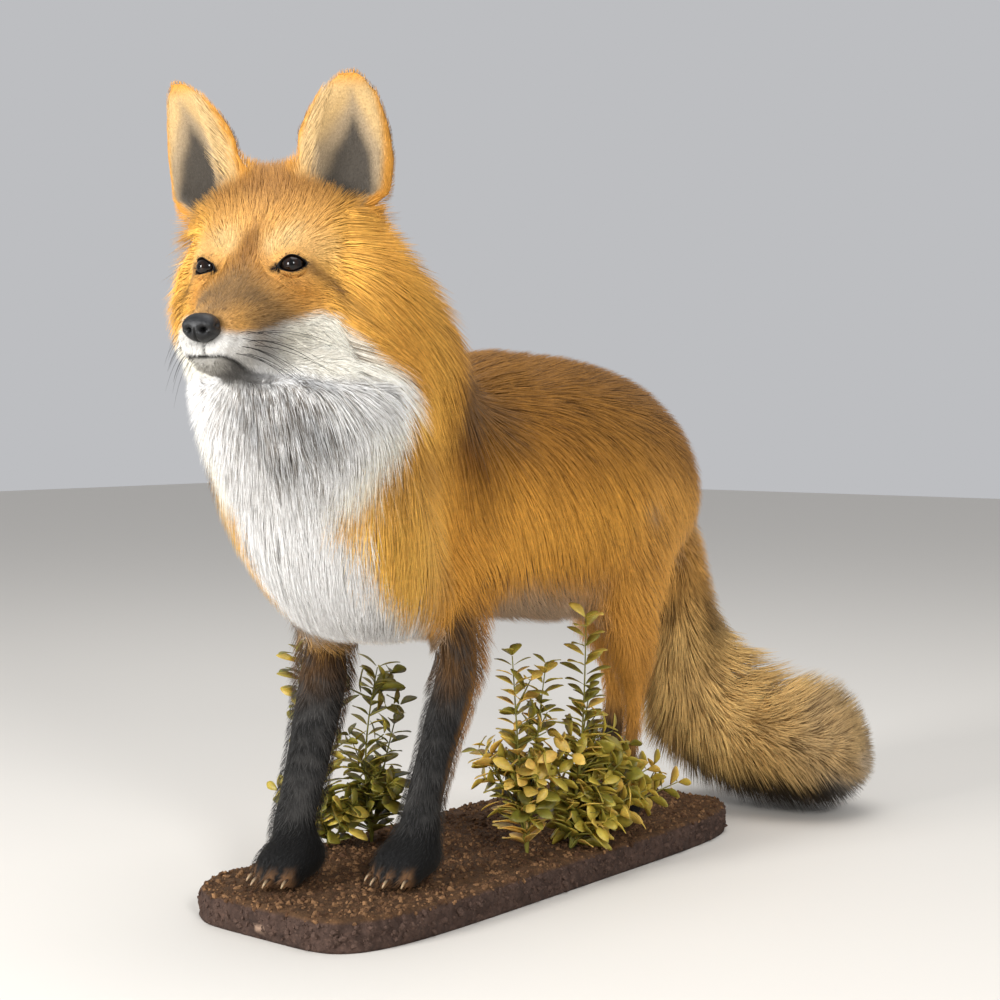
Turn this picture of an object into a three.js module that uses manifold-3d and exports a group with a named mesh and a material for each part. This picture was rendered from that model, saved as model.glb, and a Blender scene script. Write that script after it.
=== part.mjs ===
// A mounted red fox, life size, standing on a moulded earth base with sprigs of box set round its legs.
// Millimetres, +Z up. The fox faces -Y and its left side is +X. The origin is under the middle of the base.
// Every flesh solid reaches out to the tips of the winter coat. Pieces that touch keep a fine gap.
import * as THREE from "three";
import { mergeVertices } from "three/addons/utils/BufferGeometryUtils.js";
import Module from "manifold-3d";

const wasm = await Module();
wasm.setup();

const GAP = 0.35; // clearance between pieces that touch
const REACH = 1200; // longer than the whole mount, for cutting blocks
const BASE = { length: 497, width: 187, height: 24, round: 7, foot: 1.5, squareness: 5.5, steps: 28 };
const SOIL = BASE.height;
const MIDLINE = 12; // the fox stands a little to the left of the base's middle
const HEAD = { x: 21, y: -271, z: 454, turnDeg: 19 }; // halfway between the eyes, turned towards +X
const EYE = { radius: 7.4, apart: 62, sink: 1.5 };
const EAR_SPREAD = { left: -3, right: 5 }; // the right ear is set wider than the left
const PAW = { floor: SOIL + 0.4, forelegCut: 64, hindlegCut: 58, hindScale: 0.94 };
const TOE = { places: [-1.5, -0.5, 0.5, 1.5], apart: 10.6, reach: 30, curve: 3.4, height: 8.5 };
const TOE_SIZE = [5.2, 13.5, 10.5];
const LEAF = { spacing: 38, width: 0.62, thickness: 0.9, splay: 0.9, turn: 1.9, last: 0.88, taper: 0.25 };
const STEM = { radius: 1.5, heel: 3, bow: 0.15, foot: SOIL + GAP + 0.5 };

const Z_AXIS = new THREE.Vector3(0, 0, 1);
const FORWARD = new THREE.Vector3(0, -1, 0);
const DOWNWARD = new THREE.Vector3(0, 0, -1);
const BACKWARD = new THREE.Vector3(-1, 0, 0); // in the head's own frame
const SIDES = { right: -1, left: 1 };

const finish = (color, roughness) => new THREE.MeshStandardMaterial({ color, roughness, metalness: 0 });
const MATERIAL = {
  red: finish(0xb5712f, 0.9),
  white: finish(0xe8e2d8, 0.9),
  brush: finish(0xa98350, 0.9),
  black: finish(0x26262a, 0.9),
  nose: finish(0x1b1c20, 0.45),
  eye: finish(0x120a06, 0.05),
  claw: finish(0xb9a893, 0.4),
  earth: finish(0x4a3226, 1),
  leaf: finish(0x7a7a30, 0.6),
};

// ---- solids ----

function toSolid(geometry) {
  const bare = geometry.clone();
  bare.deleteAttribute("normal");
  bare.deleteAttribute("uv");
  const merged = mergeVertices(bare, 1e-4);
  const vertProperties = new Float32Array(merged.attributes.position.array);
  const triVerts = new Uint32Array(merged.index.array);
  const made = new wasm.Manifold(new wasm.Mesh({ numProp: 3, vertProperties, triVerts }));
  if (made.volume() > 0) return made;
  for (let i = 0; i < triVerts.length; i += 3) triVerts.subarray(i, i + 2).reverse();
  return new wasm.Manifold(new wasm.Mesh({ numProp: 3, vertProperties, triVerts }));
}

function toGeometry(solid) {
  const mesh = solid.getMesh();
  const position = new THREE.BufferAttribute(new Float32Array(mesh.vertProperties), 3);
  const geometry = new THREE.BufferGeometry().setAttribute("position", position);
  geometry.setIndex(new THREE.BufferAttribute(new Uint32Array(mesh.triVerts), 1));
  geometry.computeVertexNormals();
  return geometry;
}

const joined = (solids) => solids.reduce((sum, next) => sum.add(next));
const largest = (solid) => solid.decompose().sort((a, b) => b.volume() - a.volume())[0];

// A body of oval rings across a spine. A station is [x, y, z, halfWidth, up, down], up being along `upward`.
// The ends close over round caps, whose lengths are shares of the spine. Rings stand square to the spine, or
// to `facing` where one is given. `grow` fattens it all round.
function loft(stations, options = {}) {
  const { around = 18, along = 14, caps = [0.12, 0.12], upward = Z_AXIS, facing, grow = 0, place } = options;
  const spine = new THREE.CatmullRomCurve3(stations.map(([x, y, z]) => new THREE.Vector3(x, y, z)));
  const sizes = new THREE.CatmullRomCurve3(stations.map(([, , , w, u, d]) => new THREE.Vector3(w, u, d)));
  const geometry = new THREE.SphereGeometry(1, around, along);
  const points = geometry.attributes.position;
  const cap = (t, share) => (t < share ? Math.sqrt(Math.max(0, 1 - (1 - t / share) ** 2)) : 1);
  const p = new THREE.Vector3();
  for (let i = 0; i < points.count; i++) {
    p.fromBufferAttribute(points, i);
    const turn = Math.atan2(p.z, p.x);
    const height = THREE.MathUtils.clamp(p.y, -1, 1);
    const t = 0.5 * (Math.acos(height) / Math.PI + (1 - height) / 2);
    const tangent = facing ?? spine.getTangent(t);
    const side = new THREE.Vector3().crossVectors(tangent, upward).normalize();
    const up = new THREE.Vector3().crossVectors(side, tangent);
    const size = sizes.getPoint(t).addScalar(grow).multiplyScalar(cap(t, caps[0]) * cap(1 - t, caps[1]));
    const lift = Math.sin(turn) * (Math.sin(turn) > 0 ? size.y : size.z);
    p.copy(spine.getPoint(t)).addScaledVector(side, Math.cos(turn) * size.x).addScaledVector(up, lift);
    p.addScaledVector(tangent, grow * (2 * t - 1));
    points.setXYZ(i, p.x, p.y, p.z);
  }
  if (place) geometry.applyMatrix4(place);
  return toSolid(geometry);
}

function ball([x, y, z], [rx, ry, rz], { around = 14, place } = {}) {
  const geometry = new THREE.SphereGeometry(1, around, Math.round(around * 0.7));
  geometry.rotateX(Math.PI / 2).scale(rx, ry, rz).translate(x, y, z);
  if (place) geometry.applyMatrix4(place);
  return toSolid(geometry);
}

// The two sides of a plane, each half a gap short of it.
function parted(solid, point, normal) {
  const half = (sign) => {
    const box = new THREE.BoxGeometry(REACH, REACH, REACH).translate(0, 0, (sign * (REACH + GAP)) / 2);
    box.applyQuaternion(new THREE.Quaternion().setFromUnitVectors(Z_AXIS, normal.clone().normalize()));
    return largest(solid.intersect(toSolid(box.translate(...point))));
  };
  return { front: half(1), back: half(-1) };
}

const fox = new THREE.Group();
function addNode(name, solid, material) {
  const mesh = new THREE.Mesh(toGeometry(solid), material);
  mesh.name = name;
  fox.add(mesh);
}

// ---- head: built facing +X with its left at +Y, then turned into place ----

const turn = THREE.MathUtils.degToRad(HEAD.turnDeg);
const headPlace = new THREE.Matrix4().makeBasis(
  new THREE.Vector3(Math.sin(turn), -Math.cos(turn), 0),
  new THREE.Vector3(Math.cos(turn), Math.sin(turn), 0),
  Z_AXIS,
);
headPlace.setPosition(HEAD.x, HEAD.y, HEAD.z);
const atHead = (forward, left, up) => new THREE.Vector3(forward, left, up).applyMatrix4(headPlace).toArray();

const skull = loft(
  [
    [64, 0, -48, 14.5, 10, 19],
    [54, 0, -45, 20, 14, 27],
    [38, 0, -41, 24, 17, 33],
    [20, 0, -34, 29, 24, 41],
    [4, 0, -22, 38, 31, 50],
    [-14, 0, -10, 56, 48, 62],
    [-38, 0, 2, 78, 73, 74],
    [-66, 0, 0, 74, 85, 80],
    [-96, 0, -8, 66, 74, 80],
    [-130, 0, -22, 48, 52, 56],
  ],
  { around: 18, along: 13, caps: [0.05, 0.16], facing: BACKWARD, place: headPlace },
);
const cheeks = [-1, 1].map((side) =>
  loft(
    [
      [-2, side * 30, -36, 18, 16, 22],
      [-24, side * 54, -20, 30, 48, 52],
      [-52, side * 60, -18, 29, 58, 62],
      [-86, side * 57, -34, 22, 50, 54],
    ],
    { around: 10, along: 7, caps: [0.25, 0.3], facing: BACKWARD, place: headPlace },
  ),
);

const earSetting = (sideName) => ({
  upward: new THREE.Vector3(0.96, SIDES[sideName] * 0.28, 0), // the way that the cup opens
  facing: Z_AXIS,
  place: headPlace,
});
const earOf = (sideName, grow = 0) => {
  const across = (left) => SIDES[sideName] * (left + EAR_SPREAD[sideName]);
  return loft(
    [
      [-50, across(46), 20, 30, 18, 20],
      [-48, across(48), 50, 36, 16, 17],
      [-44, across(50), 76, 37.5, 12, 12],
      [-39, across(54), 98, 32, 8, 9],
      [-34, across(58), 112, 24, 5, 7],
      [-29, across(62), 124, 14, 3.5, 5],
      [-26, across(64), 130, 5, 2.5, 3.5],
    ],
    { around: 12, along: 9, caps: [0.1, 0.05], grow, ...earSetting(sideName) },
  );
};
// The hollow of the ear is an upright almond, pushed through the front of it.
const earHollow = (sideName) => {
  const across = (left) => SIDES[sideName] * (left + EAR_SPREAD[sideName]);
  return loft(
    [
      [-31, across(55), 42, 8, 8, 8],
      [-30, across(57), 60, 21, 16, 20],
      [-29, across(58), 84, 21, 14, 16],
      [-26, across(60), 104, 15, 12, 12],
      [-23, across(63), 119, 5, 8, 7],
    ],
    { around: 10, along: 7, caps: [0.14, 0.14], ...earSetting(sideName) },
  );
};

const noseOf = (grow) =>
  loft(
    [
      [54, 0, -42, 9, 9, 9],
      [62, 0, -42, 12.5, 10.5, 10],
      [69, 0, -43, 11.5, 8.5, 9.5],
      [72.5, 0, -44, 7, 5, 6.5],
    ],
    { around: 12, along: 6, caps: [0.15, 0.25], facing: BACKWARD.clone().negate(), grow, place: headPlace },
  );
const eyeOf = (sideName, grow = 0) => {
  const r = EYE.radius + grow;
  return ball([-EYE.sink, (SIDES[sideName] * EYE.apart) / 2, 0], [r, r, r], { around: 8, place: headPlace });
};

// ---- neck, trunk and tail ----

const neckBody = loft(
  [
    [...atHead(-70, 0, -14), 78, 84, 84],
    [18, -166, 418, 84, 75, 92],
    [13, -128, 372, 79, 42, 94],
    [MIDLINE, -84, 334, 81, 46, 100],
    [MIDLINE, -20, 312, 82, 82, 100],
  ],
  { around: 16, along: 8, caps: [0.1, 0.2] },
);
const bib = loft(
  [
    [22, -222, 412, 70, 50, 46],
    [18, -210, 368, 94, 88, 60],
    [15, -192, 315, 93, 84, 60],
    [13, -172, 262, 87, 79, 60],
    [MIDLINE, -152, 220, 72, 66, 58],
    [MIDLINE, -140, 188, 48, 46, 46],
  ],
  { around: 14, along: 9, caps: [0.12, 0.1], upward: FORWARD, facing: DOWNWARD },
);
const trunkBody = loft(
  [
    [MIDLINE, -110, 306, 78, 96, 106],
    [MIDLINE, -60, 304, 84, 109, 105],
    [MIDLINE, 0, 302, 84, 109, 107],
    [MIDLINE, 60, 302, 82, 107, 120],
    [MIDLINE, 120, 304, 76, 99, 114],
    [MIDLINE, 170, 302, 70, 84, 90],
    [MIDLINE, 205, 296, 58, 68, 74],
    [MIDLINE, 235, 288, 39, 48, 56],
    [MIDLINE, 256, 280, 20, 28, 34],
  ],
  { around: 16, along: 11, caps: [0.1, 0.08], facing: FORWARD.clone().negate() },
);
const tailStations = [
  [6, 232, 296, 22, 22, 22],
  [0, 260, 252, 27, 28, 28],
  [-14, 284, 198, 40, 42, 42],
  [-20, 300, 146, 54, 54, 54],
  [-6, 314, 102, 64, 66, 61],
  [31, 326, 70, 67, 69, 62],
  [74, 334, 62, 64, 61, 58],
  [114, 342, 59, 58, 56, 52],
  [144, 348, 64, 42, 41, 38],
];
const brushUp = new THREE.Vector3(0, 0.5, 0.87);
const tailShape = { around: 14, along: 11, caps: [0.06, 0.1], upward: brushUp };
const tailOf = (grow) => loft(tailStations, { ...tailShape, grow });

// ---- legs: `upward` points forward, so up is the front of the leg and down is its back ----

const FORELEGS = {
  right: { foot: [-19, -192], wrist: [-30, -175], elbow: [-42, -138], shoulder: [-36, -104] },
  left: { foot: [46, -140], wrist: [45, -122], elbow: [52, -92], shoulder: [46, -64] },
};
const HINDLEGS = {
  right: { foot: [-38, 204], hock: [-38, 236], knee: [-30, 176], hip: [-20, 196] },
  left: { foot: [52, 108], hock: [54, 136], knee: [56, 96], hip: [44, 160] },
};
const foreleg = ({ foot, wrist, elbow, shoulder }, grow = 0) =>
  loft(
    [
      [...shoulder, 300, 30, 40, 40],
      [elbow[0], elbow[1] - 4, 236, 27, 33, 36],
      [...elbow, 186, 22, 25, 27],
      [(elbow[0] + wrist[0]) / 2, (elbow[1] + wrist[1]) / 2, 136, 19, 19, 21],
      [...wrist, 92, 18, 17, 18],
      [wrist[0], wrist[1] - 8, 66, 19, 17, 17],
      [foot[0], foot[1] + 6, 46, 20, 18, 16],
    ],
    { around: 8, along: 9, caps: [0.1, 0.08], upward: FORWARD, facing: DOWNWARD, grow },
  );
const hindleg = ({ foot, hock, knee, hip }, grow = 0) =>
  loft(
    [
      [...hip, 296, 35, 58, 54],
      [(hip[0] + knee[0]) / 2, (hip[1] + knee[1]) / 2 + 2, 236, 33, 52, 52],
      [knee[0], knee[1] + 12, 190, 26, 37, 36],
      [(knee[0] + hock[0]) / 2, (knee[1] + hock[1]) / 2 + 6, 152, 18, 22, 22],
      [hock[0], hock[1] - 5, 120, 14.5, 17, 16],
      [hock[0], hock[1] - 11, 88, 14, 15, 13],
      [foot[0], foot[1] + 14, 58, 15.5, 15, 14],
      [foot[0], foot[1] + 6, 44, 17, 16, 15],
    ],
    { around: 8, along: 10, caps: [0.08, 0.06], upward: FORWARD, facing: DOWNWARD, grow },
  );

// A paw is a wedge with four toes and a claw to each, and it stands on its own flats.
const floorCut = toSolid(new THREE.BoxGeometry(REACH, REACH, REACH).translate(0, 0, PAW.floor - REACH / 2));
const toeReach = (place) => TOE.reach - TOE.curve * place * place; // the middle toes are the longest

function pawSolid([x, y], scale) {
  const wedge = loft(
    [
      [x, y + 26, PAW.floor + 13, 15 * scale, 14 * scale, 14 * scale],
      [x, y + 6, PAW.floor + 19, 20.5 * scale, 21 * scale, 20 * scale],
      [x, y - 10, PAW.floor + 16, 22 * scale, 18 * scale, 18 * scale],
      [x, y - 24, PAW.floor + 11, 20.5 * scale, 11 * scale, 12 * scale],
    ],
    { around: 9, along: 6, caps: [0.2, 0.15] },
  );
  const toes = TOE.places.map((place) => {
    const middle = [x + place * TOE.apart, y - toeReach(place) + 6, PAW.floor + TOE.height];
    return ball(middle, TOE_SIZE, { around: 5 });
  });
  return joined([wedge, ...toes]);
}
const clawOf = ([x, y], place, grow = 0) => {
  const [cx, cy] = [x + place * (TOE.apart + 0.2), y - toeReach(place) - 4.5];
  return loft(
    [
      [cx, cy + 5, PAW.floor + 9, 2, 2.2, 2.2],
      [cx + place * 0.4, cy - 1.5, PAW.floor + 9, 1.9, 2.2, 2.2],
      [cx + place * 0.7, cy - 6, PAW.floor + 6, 1.3, 1.5, 1.5],
      [cx + place * 0.8, cy - 8.5, PAW.floor + 2.8, 0.6, 0.6, 0.6],
    ],
    { around: 4, along: 4, caps: [0.1, 0.1], grow },
  );
};

// ---- the fox, put together ----

const legOf = (end, side, make, places, cut, scale) => {
  return { leg: `${end}leg_${side}`, paw: `${end}paw_${side}`, make, at: places[side], cut, scale };
};
const legs = Object.keys(SIDES).flatMap((side) => [
  legOf("fore", side, foreleg, FORELEGS, PAW.forelegCut, 1),
  legOf("hind", side, hindleg, HINDLEGS, PAW.hindlegCut, PAW.hindScale),
]);

let flesh = joined([skull, ...cheeks, neckBody, bib, trunkBody]);
for (const { make, at } of legs) flesh = flesh.subtract(make(at, GAP));
flesh = flesh.subtract(tailOf(GAP)).subtract(noseOf(GAP));
for (const side of Object.keys(SIDES)) flesh = flesh.subtract(eyeOf(side, GAP)).subtract(earOf(side, GAP));

const headCut = parted(flesh, atHead(-74, 0, -30), new THREE.Vector3(0.18, -0.86, 0.5));
const neckCut = parted(headCut.back, [MIDLINE, -104, 320], new THREE.Vector3(0, -0.86, 0.42));
addNode("head", headCut.front, MATERIAL.red);
addNode("neck", neckCut.front, MATERIAL.white);
addNode("trunk", neckCut.back, MATERIAL.red);
addNode("nose", noseOf(0), MATERIAL.nose);
for (const side of Object.keys(SIDES)) {
  addNode(`eye_${side}`, eyeOf(side), MATERIAL.eye);
  addNode(`ear_${side}`, largest(earOf(side).subtract(earHollow(side))), MATERIAL.red);
}

const tailCuts = [
  { point: [14, 345, 150], normal: new THREE.Vector3(0.1, 0.4, -0.9), name: "tail_root" },
  { point: [74, 388, 65], normal: new THREE.Vector3(0.85, 0.4, -0.45), name: "tail_brush" },
];
let tailRest = tailOf(0);
for (const { make, at } of legs) tailRest = tailRest.subtract(make(at, GAP));
for (const { point, normal, name } of tailCuts) {
  const cut = parted(tailRest, point, normal);
  addNode(name, cut.back, MATERIAL.brush);
  tailRest = cut.front;
}
addNode("tail_tip", tailRest, MATERIAL.white);

for (const { leg, paw, make, at, cut, scale } of legs) {
  const limb = joined([make(at), pawSolid(at.foot, scale)]).subtract(floorCut);
  const halves = parted(limb, [...at.foot, cut], Z_AXIS);
  let toed = halves.back;
  for (const place of TOE.places) toed = toed.subtract(clawOf(at.foot, place, GAP));
  addNode(leg, halves.front, MATERIAL.black);
  addNode(paw, largest(toed), MATERIAL.black);
  TOE.places.forEach((place, i) => addNode(`${paw}_claw_${i + 1}`, clawOf(at.foot, place), MATERIAL.claw));
}

// ---- sprigs of box: a few leafy stems from one root. A stem is [tip x, y, z, first leaf, leaf length] ----

const SPRIGS = {
  sprig_1: {
    root: [-67, -62],
    stems: [
      [-63, -59, 160, 0.3, 20],
      [-50, -48, 130, 0.35, 20],
      [-80, -73, 106, 0.35, 19],
    ],
  },
  sprig_2: {
    root: [-77, -100],
    stems: [
      [-92, -128, 178, 0.4, 18],
      [-90, -146, 74, 0.5, 18],
    ],
  },
  sprig_3: {
    root: [52, -16],
    stems: [
      [23, -39, 102, 0.4, 21],
      [45, -22, 116, 0.3, 20],
      [43, -23, 174, 0.4, 18],
      [63, -7, 168, 0.35, 19],
    ],
  },
  sprig_4: {
    root: [68, 17],
    stems: [
      [88, 10, 203, 0.45, 19],
      [80, 26, 146, 0.4, 16],
      [97, 78, 62, 0.35, 22],
      [93, 52, 90, 0.35, 22],
    ],
  },
};

// A leaf is a lozenge from `root` along `way`, with its side corners a little above and below its flat.
function leafSolid(root, way, across, length) {
  const flat = new THREE.Vector3().crossVectors(way, across).normalize();
  const at = (along, aside, above) => {
    const point = root.clone().addScaledVector(way, along * length);
    return point.addScaledVector(across, aside * length).addScaledVector(flat, above);
  };
  const half = LEAF.width / 2;
  const thick = LEAF.thickness;
  const corners = [at(-0.04, 0, 0), at(1, 0, -thick), at(0.55, half, thick), at(0.55, -half, thick)];
  const geometry = new THREE.BufferGeometry().setFromPoints(corners);
  geometry.setIndex([0, 1, 2, 0, 3, 1, 0, 2, 3, 1, 3, 2]);
  return toSolid(geometry);
}

function sprigStem([rootX, rootY], [x, y, z, firstLeaf, leafLength]) {
  const low = new THREE.Vector3(rootX, rootY, STEM.foot);
  const tip = new THREE.Vector3(x, y, z);
  const bow = new THREE.Vector3(rootX - x, rootY - y, 0).multiplyScalar(STEM.bow);
  const curve = new THREE.CatmullRomCurve3([low, low.clone().lerp(tip, 0.5).add(bow), tip]);
  const ring = (t) => [...curve.getPoint(t).toArray(), STEM.radius, STEM.radius, STEM.radius];
  const options = { around: 4, along: 4, caps: [0.02, 0.02], upward: FORWARD, facing: Z_AXIS };
  const solids = [loft([0, 0.5, 1].map(ring), options)];
  const pairs = Math.round(((1 - firstLeaf) * curve.getLength()) / LEAF.spacing);
  for (let i = 0; i <= pairs; i++) {
    const t = firstLeaf + ((LEAF.last - firstLeaf) * i) / pairs;
    const stemWay = curve.getTangent(t);
    const turned = i * LEAF.turn + rootX; // each pair stands across the one below
    for (const half of [0, Math.PI]) {
      const out = new THREE.Vector3(Math.cos(turned + half), Math.sin(turned + half), 0);
      const way = stemWay.clone().addScaledVector(out, LEAF.splay).normalize();
      const across = new THREE.Vector3().crossVectors(stemWay, way).normalize();
      solids.push(leafSolid(curve.getPoint(t), way, across, leafLength * (1 - LEAF.taper * t)));
    }
  }
  return solids;
}
for (const [name, { root, stems }] of Object.entries(SPRIGS)) {
  const heel = ball([...root, SOIL + GAP + STEM.heel], [STEM.heel, STEM.heel, STEM.heel], { around: 5 });
  addNode(name, joined([heel, ...stems.flatMap((stem) => sprigStem(root, stem))]), MATERIAL.leaf);
}

// ---- the base: a slab of earth with a rounded edge ----

function slab() {
  const { length, width, height, round, foot, squareness, steps } = BASE;
  const outline = (inset) =>
    Array.from({ length: steps }, (_, i) => {
      const a = (2 * Math.PI * i) / steps;
      const bend = (value) => Math.sign(value) * Math.abs(value) ** (2 / squareness);
      return [bend(Math.cos(a)) * (width / 2 - inset), bend(Math.sin(a)) * (length / 2 - inset)];
    });
  const rings = [
    [0, foot],
    [2 * foot, 0],
    [height - round, 0],
    [height - round * 0.3, round * 0.3],
    [height, round],
  ];
  const points = rings.flatMap(([z, inset]) => outline(inset).map(([x, y]) => [x, y, z]));
  const faces = [];
  for (let r = 0; r < rings.length - 1; r++)
    for (let i = 0; i < steps; i++) {
      const [a, b] = [r * steps + i, r * steps + ((i + 1) % steps)];
      faces.push(a, b, b + steps, a, b + steps, a + steps);
    }
  const low = points.push([0, 0, 0]) - 1;
  const high = points.push([0, 0, height]) - 1;
  const top = (rings.length - 1) * steps;
  for (let i = 0; i < steps; i++) {
    const j = (i + 1) % steps;
    faces.push(low, j, i, high, top + i, top + j);
  }
  const geometry = new THREE.BufferGeometry();
  geometry.setAttribute("position", new THREE.Float32BufferAttribute(points.flat(), 3)).setIndex(faces);
  return toSolid(geometry);
}
addNode("base", slab(), MATERIAL.earth);

export default fox;
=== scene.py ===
import math
import time
import bpy
import bmesh
import numpy as np
from mathutils import Matrix, Vector
from mathutils.bvhtree import BVHTree
from mathutils.kdtree import KDTree


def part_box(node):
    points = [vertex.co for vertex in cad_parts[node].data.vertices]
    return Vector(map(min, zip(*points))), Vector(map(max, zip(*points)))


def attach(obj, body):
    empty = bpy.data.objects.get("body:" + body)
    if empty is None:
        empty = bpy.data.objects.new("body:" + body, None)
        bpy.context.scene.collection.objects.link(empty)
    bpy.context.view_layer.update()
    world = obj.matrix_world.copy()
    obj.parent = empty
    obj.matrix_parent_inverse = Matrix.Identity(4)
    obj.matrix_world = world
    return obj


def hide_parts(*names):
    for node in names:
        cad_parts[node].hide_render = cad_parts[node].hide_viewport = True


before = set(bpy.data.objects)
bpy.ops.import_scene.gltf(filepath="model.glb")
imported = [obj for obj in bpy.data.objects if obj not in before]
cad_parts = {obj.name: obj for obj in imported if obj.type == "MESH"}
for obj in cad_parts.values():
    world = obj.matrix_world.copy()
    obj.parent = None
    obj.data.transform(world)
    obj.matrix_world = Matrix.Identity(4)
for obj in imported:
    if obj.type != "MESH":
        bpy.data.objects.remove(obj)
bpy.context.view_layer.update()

started = time.time()
mm = 0.001
bodyMiddle = 12  # x of the plane that parts the body's left from its right, in millimetres
scene = bpy.context.scene
scene.view_settings.view_transform = "Standard"


def report(words):
    print(f"[fox {time.time() - started:5.1f} s] {words}")


# small tools

def tone(red, green, blue):  # a swatch in sRGB, as linear light
    srgb = np.array([red, green, blue], float) / 255
    return np.where(srgb > 0.04045, ((srgb + 0.055) / 1.055) ** 2.4, srgb / 12.92)


def fade(x, low, high):  # 0 at low, 1 at high, eased; low may be the larger
    t = np.clip((x - low) / (high - low), 0, 1)
    return t * t * (3 - 2 * t)


def unit(v):
    return v / np.maximum(np.linalg.norm(v, axis=-1, keepdims=True), 1e-12)


def blended(colour, paint, share):
    share = np.broadcast_to(np.clip(share, 0, 1), len(colour))
    return colour + (paint - colour) * share[:, None]


def ripple(points, size, seed, waves=14):  # soft noise about -1 to 1, with lumps of one size in metres
    dice = np.random.default_rng(seed)
    along = unit(dice.normal(size=(waves, 3))) * (2 * math.pi / size) * dice.uniform(0.6, 1.5, (waves, 1))
    phase = dice.uniform(0, 2 * math.pi, waves)
    return np.sin(points @ along.T + phase).sum(1) / math.sqrt(waves)


def meshOf(name, points, corners):  # corners: a row of vertex numbers for each face
    mesh = bpy.data.meshes.new(name)
    corners = np.asarray(corners)
    sides = corners.shape[1]
    mesh.vertices.add(len(points))
    mesh.vertices.foreach_set("co", np.asarray(points, np.float32).ravel())
    mesh.loops.add(corners.size)
    mesh.loops.foreach_set("vertex_index", corners.astype(np.int32).ravel())
    mesh.polygons.add(len(corners))
    mesh.polygons.foreach_set("loop_start", np.arange(0, corners.size, sides, dtype=np.int32))
    mesh.update(calc_edges=True)
    mesh.polygons.foreach_set("use_smooth", np.ones(len(corners), bool))
    return mesh


def pieceOf(name, mesh, material):
    piece = bpy.data.objects.new(name, mesh)
    scene.collection.objects.link(piece)
    mesh.materials.clear()
    mesh.materials.append(material)
    return piece


def settled(piece):  # the modifiers' result as a plain mesh
    shape = bpy.data.meshes.new_from_object(piece.evaluated_get(bpy.context.evaluated_depsgraph_get()))
    piece.modifiers.clear()
    piece.data = shape
    return piece


def paintPoints(mesh, name, colours):
    layer = mesh.attributes.new(name, "FLOAT_COLOR", "POINT")
    full = np.ones((len(colours), 4), np.float32)
    full[:, :3] = colours
    layer.data.foreach_set("color", full.ravel())


def nodeCorners(names):  # merged copies of CAD nodes in one bmesh
    shape = bmesh.new()
    for name in names:
        shape.from_mesh(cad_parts[name].data)
    bmesh.ops.remove_doubles(shape, verts=shape.verts, dist=1e-6)
    return shape


# camera, floor and light

view = dict(place=(0.891, -1.085, 0.359), azimuth=39.0, drop=2.8, lens=64.8)


def setCamera():
    turn, drop = math.radians(view["azimuth"]), math.radians(view["drop"])
    back = Vector((math.sin(turn) * math.cos(drop), -math.cos(turn) * math.cos(drop), math.sin(drop)))
    right = Vector((math.cos(turn), math.sin(turn), 0))
    up = back.cross(right)
    data = bpy.data.cameras.new("studioCamera")
    data.lens = view["lens"]
    data.sensor_width = 36
    data.clip_start = 0.05
    camera = bpy.data.objects.new("studioCamera", data)
    camera.matrix_world = Matrix.Translation(view["place"]) @ Matrix((right, up, back)).transposed().to_4x4()
    scene.collection.objects.link(camera)
    scene.camera = camera


studio = dict(
    aim=(0.03, -0.08, 0.3),
    key=dict(place=(1.75, -1.15, 1.15), size=(0.44, 0.58), power=25),
    fill=dict(place=(-0.35, -2.0, 0.75), size=(0.58, 0.72), power=43),
    top=dict(place=(0.1, 0.1, 2.3), size=(1.6, 1.6), power=22),
    world=dict(colour=(0.82, 0.83, 0.86), strength=0.62),
    floor=dict(reach=6.0, colour=(0.70, 0.67, 0.62)),
)


def setStudio():
    for name in ("key", "fill", "top"):
        lamp = studio[name]
        data = bpy.data.lights.new(name, "AREA")
        data.shape = "RECTANGLE"
        data.size, data.size_y = lamp["size"]
        data.energy = lamp["power"]
        light = bpy.data.objects.new(name, data)
        light.location = lamp["place"]
        aim = Vector(studio["aim"]) - light.location
        light.rotation_euler = aim.to_track_quat("-Z", "Y").to_euler()
        scene.collection.objects.link(light)
    world = bpy.data.worlds.new("studioAir")
    world.use_nodes = True
    world.node_tree.nodes["Background"].inputs[0].default_value = (*studio["world"]["colour"], 1)
    world.node_tree.nodes["Background"].inputs[1].default_value = studio["world"]["strength"]
    scene.world = world
    reach = studio["floor"]["reach"]
    corners = [(-reach, -reach, 0), (reach, -reach, 0), (reach, reach, 0), (-reach, reach, 0)]
    paint = bpy.data.materials.new("floorPaint")
    paint.use_nodes = True
    shader = paint.node_tree.nodes["Principled BSDF"]
    shader.inputs["Base Color"].default_value = (*studio["floor"]["colour"], 1)
    shader.inputs["Roughness"].default_value = 0.7
    floor = pieceOf("floor", meshOf("floor", np.array(corners, float), [[0, 1, 2, 3]]), paint)


setCamera()
setStudio()
report("camera, floor and lights")


# the head's own axes: forward, towards its left ear, up

eyeMiddle = {side: (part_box("eye_" + side)[0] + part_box("eye_" + side)[1]) / 2 for side in ("left", "right")}
eyeRadius = (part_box("eye_left")[1].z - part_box("eye_left")[0].z) / 2
headLeft = unit(np.array((eyeMiddle["left"] - eyeMiddle["right"]).to_2d().to_3d()))
headForward = np.array([headLeft[1], -headLeft[0], 0.0])
headUp = np.array([0.0, 0.0, 1.0])
headPlace = np.array((eyeMiddle["left"] + eyeMiddle["right"]) / 2) + headForward * 1.5 * mm


def inHead(points):  # forward, left and up of the middle of the eyes, in millimetres
    away = (points - headPlace) / mm
    return np.stack([away @ headForward, away @ headLeft, away @ headUp], -1)


def fromHead(places):
    places = np.atleast_2d(places) * mm
    return headPlace + places[:, :1] * headForward + places[:, 1:2] * headLeft + places[:, 2:3] * headUp


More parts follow.
